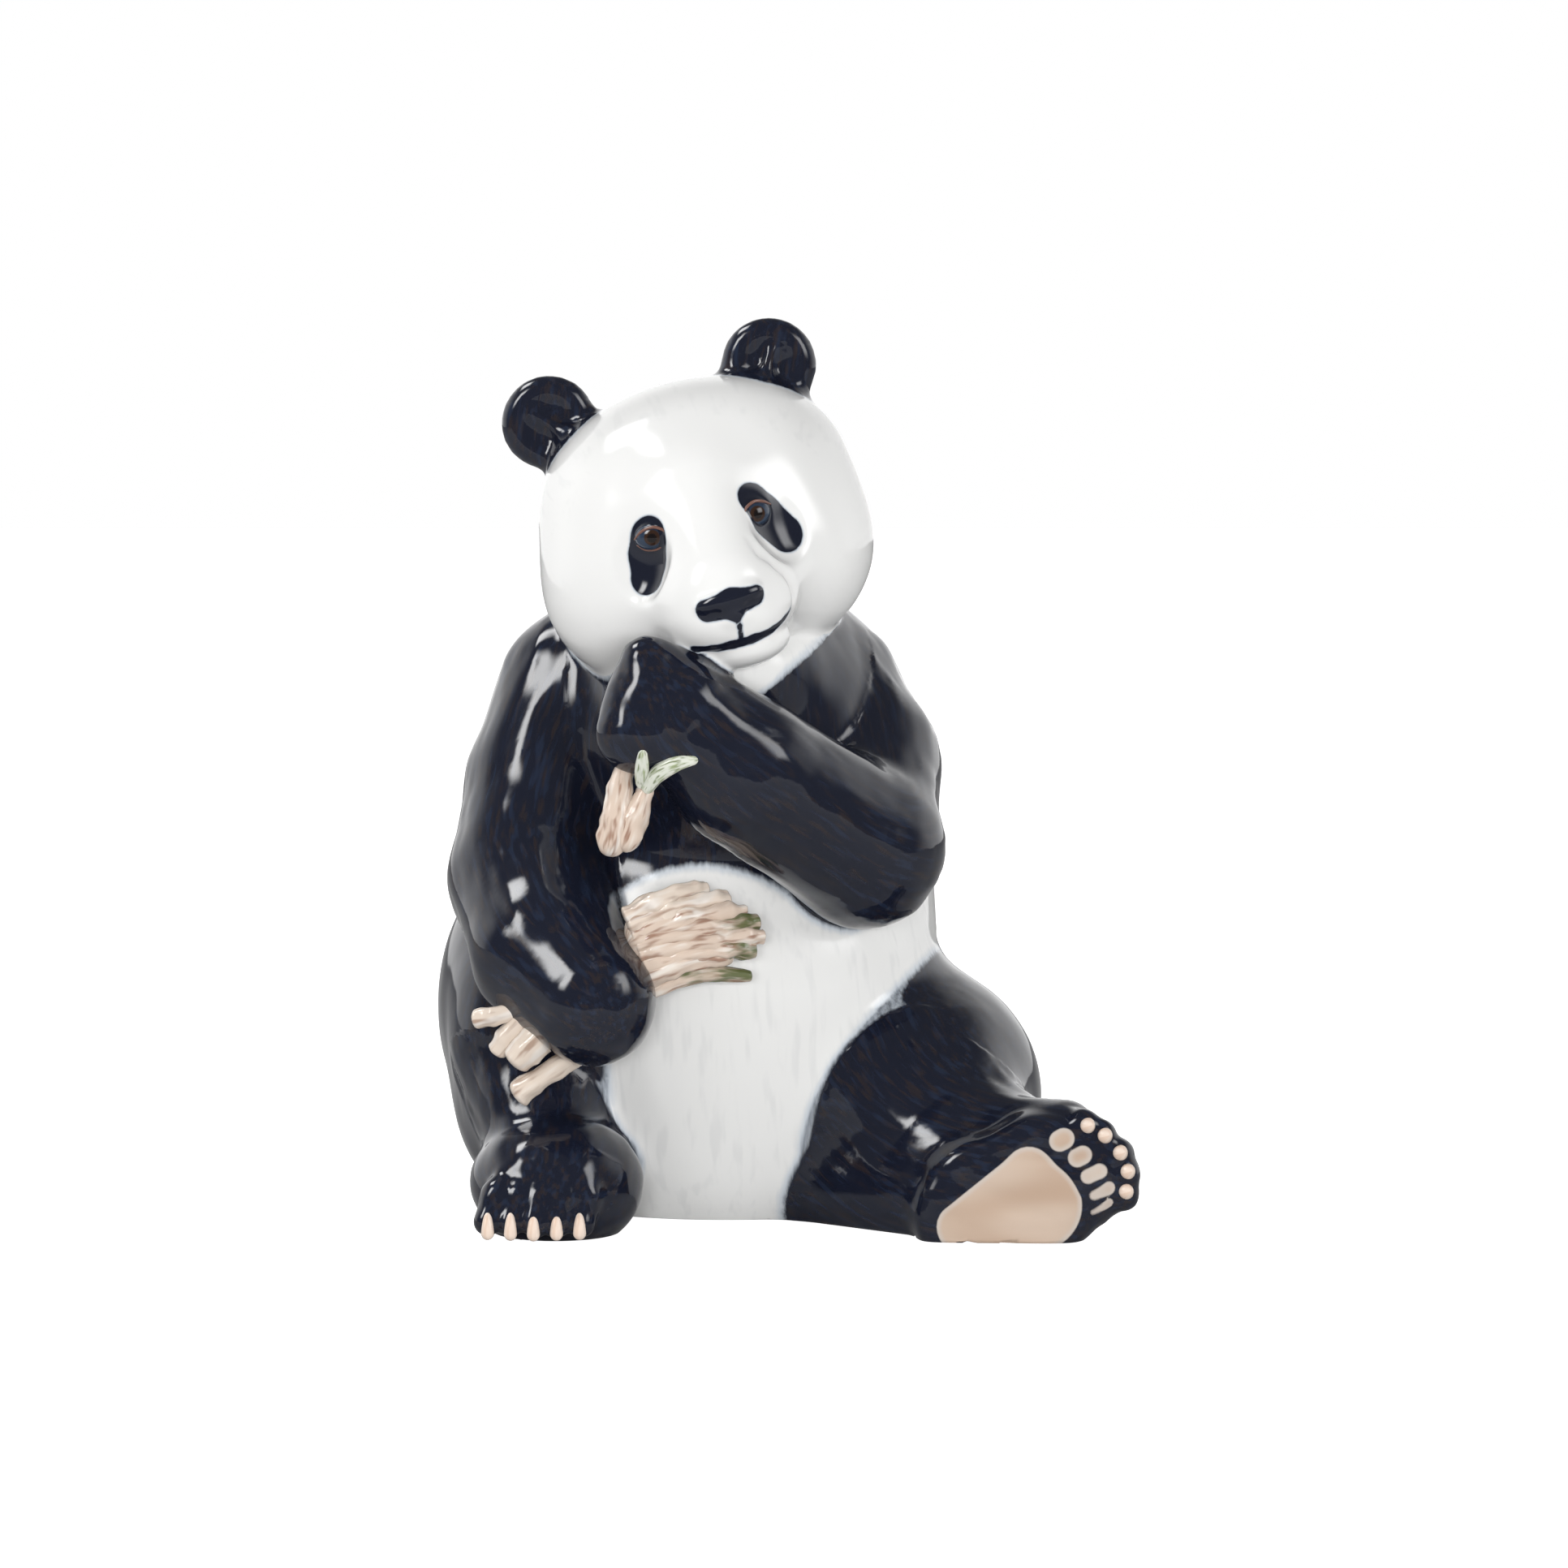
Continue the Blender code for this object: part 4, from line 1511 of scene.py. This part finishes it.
class Graph:
    """A node tree with short calls for adding and joining nodes."""

    def __init__(self, tree: bpy.types.NodeTree) -> None:
        """Start on a tree."""
        self.tree = tree
        self.place = 0

    def add(self, kind: str, **inputs: object) -> bpy.types.Node:
        """Add a node.

        Args:
            kind: type of the node.
            inputs: values or outputs for its inputs by name, with underscores for spaces, or as i0, i1
                and so on by number, or properties.

        Returns:
            The node.
        """
        node = self.tree.nodes.new(kind)
        node.location = (self.place % 8 * 190, -(self.place // 8) * 260)
        self.place += 1
        for key, value in inputs.items():
            if hasattr(node, key):
                setattr(node, key, value)
            elif key[0] == "i" and key[1:].isdigit():
                self.feed(node.inputs[int(key[1:])], value)
            else:
                self.feed(node.inputs[key.replace("_", " ")], value)
        return node

    def feed(self, socket: bpy.types.NodeSocket, value: Value) -> None:
        """Join an output to a socket, or set the socket's own value.

        Args:
            socket: the input.
            value: an output, a number, a vector or a colour.
        """
        if isinstance(value, bpy.types.NodeSocket):
            self.tree.links.new(value, socket)
        elif isinstance(value, tuple) and len(value) == 3 and socket.type == "RGBA":
            socket.default_value = (*value, 1.0)
        else:
            socket.default_value = value

    def math(self, operation: str, first: Value, second: Value = 0.0, third: Value = 0.0) -> Output:
        """Output of a Math node."""
        return self.add("ShaderNodeMath", operation=operation, i0=first, i1=second, i2=third).outputs[0]

    def times(self, first: Value, second: Value) -> Output:
        """Product of two numbers."""
        return self.math("MULTIPLY", first, second)

    def line(self, value: Value, slope: Value, start: Value) -> Output:
        """Value times slope, plus start."""
        return self.math("MULTIPLY_ADD", value, slope, start)

    def mix(self, share: Value, first: Value, second: Value) -> Output:
        """Colour that lies a share of the way from one colour to another."""
        return self.add("ShaderNodeMix", data_type="RGBA", i0=share, i6=first, i7=second).outputs[2]

    def step(self, value: Value, start: Value, end: Value) -> Output:
        """Smooth step of a value from 0 at start to 1 at end."""
        kind = "SMOOTHSTEP"
        return self.add("ShaderNodeMapRange", interpolation_type=kind, i0=value, i1=start, i2=end).outputs[0]

    def noise(self, vector: Value, scale: float, detail: float = 2.0, roughness: float = 0.5) -> Output:
        """Noise around a half at a vector."""
        sizes = {"Scale": scale, "Detail": detail, "Roughness": roughness}
        return self.add("ShaderNodeTexNoise", Vector=vector, **sizes).outputs[0]

    def kept(self, name: str) -> Output:
        """Number that a mesh keeps on its points."""
        return self.add("ShaderNodeAttribute", attribute_name=name).outputs["Fac"]

    def grain(self) -> Output:
        """Brush coordinates that a mesh keeps on its points."""
        return self.add("ShaderNodeAttribute", attribute_name=GRAIN).outputs["Vector"]

    def vector_math(self, operation: str, first: Value, second: Value) -> Output:
        """Output of a Vector Math node."""
        return self.add("ShaderNodeVectorMath", operation=operation, i0=first, i1=second).outputs[0]

    def brush(self, strokes: bpy.types.ShaderNodeTree, width: float) -> bpy.types.Node:
        """Group of brush strokes with its own width."""
        return self.add("ShaderNodeGroup", node_tree=strokes, Width=width)


@dataclass(frozen=True)
class BrushStrokes:
    """Brush strokes along the grain: two masks of thin streaks and a height for the glaze over them.

    Each is noise at the brush coordinates over the width. A streak is a smooth step of it.
    """

    streak_scale: float = 0.75
    second_scale: float = 0.6
    second_shift: Point = (31.0, 17.0, 5.0)
    detail: float = 1.5
    start: float = 0.50
    end: float = 0.72
    height_scale: float = 0.28
    height_detail: float = 1.0
    height_roughness: float = 0.4

    def group(self) -> bpy.types.ShaderNodeTree:
        """Build the group, with an input Width and outputs Streak, Second and Height.

        Returns:
            The group.
        """
        tree = bpy.data.node_groups.new("brush_strokes", "ShaderNodeTree")
        width = tree.interface.new_socket("Width", in_out="INPUT", socket_type="NodeSocketFloat")
        width.default_value = 1.0
        for name in ("Streak", "Second", "Height"):
            tree.interface.new_socket(name, in_out="OUTPUT", socket_type="NodeSocketFloat")
        graph = Graph(tree)
        enter = graph.add("NodeGroupInput")
        leave = graph.add("NodeGroupOutput")
        place = graph.vector_math("DIVIDE", graph.grain(), enter.outputs["Width"])
        shifted = graph.vector_math("ADD", place, self.second_shift)
        streak = graph.noise(place, self.streak_scale, self.detail)
        second = graph.noise(shifted, self.second_scale, self.detail)
        height = graph.noise(place, self.height_scale, self.height_detail, self.height_roughness)
        graph.feed(leave.inputs["Streak"], graph.step(streak, self.start, self.end))
        graph.feed(leave.inputs["Second"], graph.step(second, self.start, self.end))
        graph.feed(leave.inputs["Height"], height)
        return tree


class Finish:
    """A material on the way: its graph and its shader."""

    def __init__(self, name: str, roughness: float) -> None:
        """Start a material with a plain roughness."""
        self.material = bpy.data.materials.new(name)
        self.material.use_nodes = True
        self.graph = Graph(self.material.node_tree)
        self.shader = self.material.node_tree.nodes["Principled BSDF"]
        self.shader.inputs["Roughness"].default_value = roughness

    def colour(self, colour: Output) -> None:
        """Give the shader its colour."""
        self.graph.feed(self.shader.inputs["Base Color"], colour)

    def relief(self, height: Output, strength: float, distance: float) -> None:
        """Give the shader a bumpy surface, with the distance in metres."""
        bump = self.graph.add("ShaderNodeBump", Strength=strength, Distance=distance, Height=height)
        self.graph.feed(self.shader.inputs["Normal"], bump.outputs["Normal"])


@dataclass(frozen=True)
class PaintedPorcelain:
    """White porcelain with dark brushed areas and pink pads under one clear glaze.

    Widths and reaches are in millimetres. A pair (slope, start) is a line over the softness of the border.
    """

    white: Point = (0.78, 0.78, 0.77)
    grey: Point = (0.48, 0.49, 0.50)
    navy: Point = (0.008, 0.010, 0.020)
    blue: Point = (0.018, 0.028, 0.056)
    brown: Point = (0.034, 0.022, 0.016)
    halo: Point = (0.34, 0.42, 0.52)
    pad: Point = (0.57, 0.45, 0.36)
    pad_edge: Point = (0.40, 0.26, 0.17)
    pad_rim: Point = (0.56, 0.52, 0.48)
    roughness: float = 0.09
    glaze_index: float = 1.52
    fine_brush: float = 0.8
    broad_brush: float = 1.5
    brushed_softness: float = 0.25
    blue_share: float = 0.5
    brown_share: float = 0.45
    grey_share: float = 0.24
    ragged: Point = (0.9, 3.0, 0.6)
    reach: Pair = (1.5, 0.2)
    width: Pair = (0.75, 0.16)
    fringe: float = 3.0
    halo_share: float = 0.6
    blush: Point = (0.13, 0.36, 0.78)
    blush_share: float = 0.6
    rim: Pair = (-1.3, -0.2)
    rim_share: float = 0.7
    pad_border: Pair = (-0.22, 0.12)
    bump_strength: float = 0.05
    bump_height: float = 0.0006

    def flesh(self, graph: Graph, pad: Output) -> Output:
        """Colour of the pads: patches of the deeper pink, and a pale rim.

        Args:
            graph: nodes of the material.
            pad: distance from the border of a pad.

        Returns:
            The colour.
        """
        scale, start, end = self.blush
        blush = graph.step(graph.noise(graph.grain(), scale, 0.0), start, end)
        flesh = graph.mix(graph.times(blush, self.blush_share), self.pad, self.pad_edge)
        return graph.mix(graph.times(graph.step(pad, *self.rim), self.rim_share), flesh, self.pad_rim)

    def material(self, strokes: bpy.types.ShaderNodeTree) -> bpy.types.Material:
        """Build the material from the values that the skin keeps.

        The border of the dark glaze is the kept distance, made ragged by noise. Dark runs into pale over
        the width, and a blue halo lies round it over some widths more. Streaks tint both sides.

        Args:
            strokes: group of brush strokes.

        Returns:
            The material.
        """
        finish = Finish("painted_porcelain", self.roughness)
        graph = finish.graph
        fine = graph.brush(strokes, self.fine_brush)
        broad = graph.brush(strokes, self.broad_brush)
        softness = graph.kept(SOFTNESS)
        brushed = graph.step(softness, 0.0, self.brushed_softness)
        blueing = graph.times(fine.outputs["Second"], graph.times(brushed, self.blue_share))
        browning = graph.times(fine.outputs["Streak"], graph.times(brushed, self.brown_share))
        dark = graph.mix(browning, graph.mix(blueing, self.navy, self.blue), self.brown)
        greying = graph.times(broad.outputs["Streak"], graph.times(softness, self.grey_share))
        pale = graph.mix(greying, self.white, self.grey)
        jitter = graph.math("SUBTRACT", graph.noise(graph.grain(), *self.ragged), 0.5)
        border = graph.line(jitter, graph.line(softness, *self.reach), graph.kept(PAINT))
        width = graph.line(softness, *self.width)
        edge = graph.step(border, graph.times(width, -1.0), width)
        fringe = graph.step(border, graph.times(width, self.fringe), 0.0)
        pale = graph.mix(graph.times(fringe, self.halo_share), pale, self.halo)
        coat = graph.mix(edge, dark, pale)
        pad = graph.kept(PAD)
        finish.colour(graph.mix(graph.step(pad, *self.pad_border), self.flesh(graph, pad), coat))
        finish.shader.inputs["IOR"].default_value = self.glaze_index
        finish.relief(broad.outputs["Height"], self.bump_strength, self.bump_height)
        return finish.material


@dataclass(frozen=True)
class StrokedGlaze:
    """A small piece's glaze: a body colour with strokes of two other colours, and a tint of its far end."""

    name: str
    body: Point
    streak: Point
    second: Point
    amount: float = 0.7
    width: float = 0.8
    end: Point | None = None
    end_start: float = 0.7
    end_run: Pair = (0.2, 0.4)
    wear: Pair = (0.9, 0.5)
    patch: Point = (0.7, 0.36, 0.56)
    patch_line: Pair = (0.7, 0.2)
    roughness: float = 0.08
    bump_strength: float = 0.3
    bump_height: float = 0.0003

    def tint(self, graph: Graph) -> Output:
        """Share of the end's colour: a step along the piece, worn by noise and patchy.

        Args:
            graph: nodes of the material.

        Returns:
            Share from 0 to 1.
        """
        scale, depth = self.wear
        worn = graph.line(graph.noise(graph.grain(), scale), depth, graph.kept(RUN))
        near_end = graph.step(worn, *(self.end_start + gap for gap in self.end_run))
        scale, start, end = self.patch
        patchy = graph.step(graph.noise(graph.grain(), scale), start, end)
        return graph.times(near_end, graph.line(patchy, *self.patch_line))

    def material(self, strokes: bpy.types.ShaderNodeTree) -> bpy.types.Material:
        """Build the material from the piece's brush coordinates.

        Args:
            strokes: group of brush strokes.

        Returns:
            The material.
        """
        finish = Finish(self.name, self.roughness)
        graph = finish.graph
        brush = graph.brush(strokes, self.width)
        colour = graph.mix(graph.times(brush.outputs["Streak"], self.amount), self.body, self.streak)
        colour = graph.mix(graph.times(brush.outputs["Second"], self.amount), colour, self.second)
        if self.end is not None:
            colour = graph.mix(self.tint(graph), colour, self.end)
        finish.colour(colour)
        finish.relief(brush.outputs["Height"], self.bump_strength, self.bump_height)
        return finish.material


@dataclass(frozen=True)
class EyeGlaze:
    """Painted eye: black pupil, brown iris, and a blue rim in the corners, by distance in millimetres."""

    pupil: Point = (0.006, 0.004, 0.004)
    iris: Point = (0.030, 0.014, 0.008)
    rim: Point = (0.022, 0.038, 0.068)
    pupil_edge: Pair = (0.7, 1.2)
    iris_edge: Pair = (1.5, 1.85)
    roughness: float = 0.04

    def material(self) -> bpy.types.Material:
        """Build the material from each point's distance to the middle of the iris.

        Returns:
            The material.
        """
        finish = Finish("eye_glaze", self.roughness)
        graph = finish.graph
        distance = graph.kept(IRIS)
        middle = graph.mix(graph.step(distance, *self.pupil_edge), self.pupil, self.iris)
        finish.colour(graph.mix(graph.step(distance, *self.iris_edge), middle, self.rim))
        return finish.material


BARK_COLOURS = ((0.64, 0.52, 0.43), (0.28, 0.15, 0.10), (0.78, 0.73, 0.67))
BUTT_COLOURS = ((0.70, 0.60, 0.51), (0.34, 0.22, 0.16), (0.78, 0.73, 0.68))
LEAF_COLOURS = ((0.66, 0.68, 0.60), (0.13, 0.17, 0.05), (0.30, 0.36, 0.18))
CLAW_COLOURS = ((0.78, 0.64, 0.54), (0.62, 0.40, 0.26), (0.84, 0.74, 0.66))
LID_COLOURS = ((0.17, 0.085, 0.065), (0.10, 0.05, 0.04), (0.22, 0.12, 0.10))
GREEN = (0.07, 0.10, 0.025)

BARK_GLAZES = {
    Bark.STALK: StrokedGlaze("stalk_glaze", *BARK_COLOURS, amount=0.85),
    Bark.CUT: StrokedGlaze("cut_stalk_glaze", *BARK_COLOURS, amount=0.85, end=GREEN, end_start=0.70),
    Bark.STICK: StrokedGlaze("stick_glaze", *BARK_COLOURS, amount=0.8, end=GREEN, end_start=0.42),
    Bark.BUTT: StrokedGlaze("butt_glaze", *BUTT_COLOURS, amount=0.8, width=1.1),
    Bark.LEAF: StrokedGlaze("leaf_glaze", *LEAF_COLOURS, amount=0.9, width=0.4),
}
CLAW_GLAZE = StrokedGlaze("claw_glaze", *CLAW_COLOURS, amount=0.4)
LID_GLAZE = StrokedGlaze("lid_glaze", *LID_COLOURS, amount=0.4)


@dataclass(frozen=True)
class Softbox:
    """A rectangular light that fades toward its edges.

    It has its direction from the figure in degrees, its width and height in metres, its watts, the share
    of its width over which an edge fades, and whether it lights matt surfaces and shows in glossy ones.
    """

    name: str
    azimuth: float
    elevation: float
    size: tuple[float, float]
    power: float
    soft: float
    matt: bool = True
    shine: bool = True


@dataclass
class Studio:
    """White table and air, soft lights and the camera of a plain product picture."""

    elevation: float = 6.0
    distance: float = 1.6
    aim: Point = (0.0, 0.0, 86.0)
    lens: float = 183.3
    sensor: float = 36.0
    nearest: float = 0.05
    light_distance: float = 1.1
    table_size: Pair = (2.4, 2.5)
    table_front: float = -0.62
    table_level: float = -0.0002
    table_points: int = 9
    table_grey: float = 0.5
    table_roughness: float = 0.7
    table_sheen: float = 0.2
    sweep_back: Pair = (-0.15, 0.35)
    sweep_top: Pair = (0.75, 0.35)
    sweep_glow: float = 1.1
    room_glow: float = 0.14
    boxes: tuple[Softbox, ...] = (
        Softbox("softbox_left", -60.0, 36.0, (0.42, 0.74), 11.5, 0.35),
        Softbox("softbox_top", -112.0, 54.0, (0.44, 0.40), 6.0, 0.3),
        Softbox("softbox_right", 61.0, 30.0, (0.65, 0.90), 9.0, 0.35, matt=False),
        Softbox("fill_front", 4.0, 6.0, (0.8, 0.2), 10.5, 0.1, shine=False),
        Softbox("fill_right", 60.0, 16.0, (0.5, 0.4), 3.5, 0.1, shine=False),
    )

    def direction(self, azimuth: float, elevation: float) -> Vector:
        """Way from the figure: azimuth 0 is toward the camera and grows to the right."""
        turn, rise = math.radians(azimuth), math.radians(elevation)
        return Vector((math.sin(turn) * math.cos(rise), -math.cos(turn) * math.cos(rise), math.sin(rise)))

    def placed(self, name: str, data: bpy.types.ID, way: Vector, distance: float) -> bpy.types.Object:
        """Put a camera or a light at a distance on a way from the figure, facing the figure.

        Args:
            name: name of the object.
            data: the camera or light.
            way: unit way from the figure.
            distance: metres from the aim.

        Returns:
            The object.
        """
        made = bpy.data.objects.new(name, data)
        bpy.context.scene.collection.objects.link(made)
        target = Vector((np.array(self.aim) - np.array(FOOTPRINT_MIDDLE)) * MM)
        made.location = target + way * distance
        made.rotation_euler = way.to_track_quat("Z", "Y").to_euler()
        return made

    def camera(self) -> None:
        """Set the camera at the picture's angle."""
        data = bpy.data.cameras.new("camera")
        data.lens = self.lens
        data.sensor_width = self.sensor
        data.clip_start = self.nearest
        way = self.direction(0.0, self.elevation)
        bpy.context.scene.camera = self.placed("camera", data, way, self.distance)

    def hang(self, box: Softbox) -> None:
        """Hang a softbox that faces the figure, its strength stepping down toward each edge.

        Args:
            box: the softbox.
        """
        data = bpy.data.lights.new(box.name, "AREA")
        data.shape = "RECTANGLE"
        data.size, data.size_y = box.size
        data.energy = box.power
        data.use_nodes = True
        graph = Graph(data.node_tree)
        place = graph.add("ShaderNodeNewGeometry").outputs["Parametric"]
        parts = graph.add("ShaderNodeSeparateXYZ", Vector=place)
        fades = []
        for axis in ("X", "Y"):
            off = graph.math("ABSOLUTE", graph.math("SUBTRACT", parts.outputs[axis], 0.5))
            fades.append(graph.step(off, 0.5, 0.5 - box.soft))
        graph.feed(data.node_tree.nodes["Emission"].inputs["Strength"], graph.times(*fades))
        way = self.direction(box.azimuth, box.elevation)
        made = self.placed(box.name, data, way, self.light_distance)
        made.visible_diffuse = box.matt
        made.visible_glossy = box.shine

    def table(self) -> None:
        """White table top under the figure, a grid with level height."""
        width, depth = self.table_size
        count = self.table_points
        across = np.linspace(-width / 2, width / 2, count)
        back = np.linspace(self.table_front, self.table_front + depth, count)
        level = np.full((count, count), self.table_level)
        grid = np.stack([*np.meshgrid(across, back, indexing="ij"), level], axis=-1)
        index = np.arange(count * count).reshape(count, count)
        corners = np.stack([index[:-1, :-1], index[1:, :-1], index[1:, 1:], index[:-1, 1:]], axis=-1)
        faces = [tuple(face) for face in corners.reshape(-1, 4).tolist()]
        made = new_object("table", grid.reshape(-1, 3), faces)
        finish = Finish("table_white", self.table_roughness)
        graph, shader = finish.graph, finish.shader
        grey = self.table_grey
        shader.inputs["Base Color"].default_value = (grey, grey, grey, 1.0)
        shader.inputs["Specular IOR Level"].default_value = self.table_sheen
        shader.inputs["Emission Color"].default_value = (1.0, 1.0, 1.0, 1.0)
        seen = graph.add("ShaderNodeLightPath").outputs["Is Camera Ray"]
        graph.feed(shader.inputs["Emission Strength"], seen)
        made.data.materials.append(finish.material)

    def air(self) -> None:
        """White air for the camera, and for reflections a white sweep behind and dark in front and above."""
        world = bpy.data.worlds.new("studio_air")
        world.use_nodes = True
        bpy.context.scene.world = world
        graph = Graph(world.node_tree)
        world.node_tree.nodes.clear()
        way = graph.add("ShaderNodeTexCoord").outputs["Generated"]
        parts = graph.add("ShaderNodeSeparateXYZ", Vector=way)
        behind = graph.step(parts.outputs["Y"], *self.sweep_back)
        low = graph.step(parts.outputs["Z"], *self.sweep_top)
        glow = graph.line(graph.times(behind, low), self.sweep_glow, self.room_glow)
        seen = graph.add("ShaderNodeLightPath").outputs["Is Camera Ray"]
        sky = graph.add("ShaderNodeBackground", Color=graph.mix(seen, glow, (1.0, 1.0, 1.0)))
        leave = graph.add("ShaderNodeOutputWorld")
        graph.feed(leave.inputs["Surface"], sky.outputs[0])

    def build(self) -> None:
        """Set up table, air, lights and camera."""
        self.table()
        self.air()
        for box in self.boxes:
            self.hang(box)
        self.camera()
        bpy.context.scene.view_settings.view_transform = "Standard"


@dataclass
class Panda:
    """The whole figurine: the skin and the fine pieces set on it."""

    torso: Torso = field(default_factory=Torso)
    left_foot: LeftFoot = field(default_factory=LeftFoot)
    right_foot: RightFoot = field(default_factory=RightFoot)
    arms: Arms = field(default_factory=Arms)
    head: Head = field(default_factory=Head)
    ears: Ears = field(default_factory=Ears)
    coat: Coat = field(default_factory=Coat)
    sprig: Sprig = field(default_factory=Sprig)
    bundle: Bundle = field(default_factory=Bundle)
    eyes: Eyes = field(default_factory=Eyes)

    def members(self) -> list[Member]:
        """Parts of the body in the order in which they melt together."""
        legs = [self.left_foot.member(), self.right_foot.member()]
        return [self.torso.member(), *legs, *self.arms.members(), self.head.member(), self.ears.member()]

    def build(self) -> None:
        """Build, dress and place every piece."""
        strokes = BrushStrokes().group()
        barks = {bark: glaze.material(strokes) for bark, glaze in BARK_GLAZES.items()}
        skin = Skin(self.members(), self.head, self.coat, self.right_foot).build()
        dress(skin, PaintedPorcelain().material(strokes))
        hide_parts(NODE)
        claw = CLAW_GLAZE.material(strokes)
        self.left_foot.build(claw)
        self.right_foot.build(claw)
        self.sprig.build(barks)
        self.bundle.build(barks)
        self.eyes.build(self.head, EyeGlaze().material(), LID_GLAZE.material(strokes))


def main() -> None:
    """Build the figurine and the studio."""
    logging.basicConfig(level=logging.INFO, format="%(message)s")
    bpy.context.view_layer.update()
    Panda().build()
    Studio().build()
    bpy.context.view_layer.update()


if __name__ == "__main__":
    main()
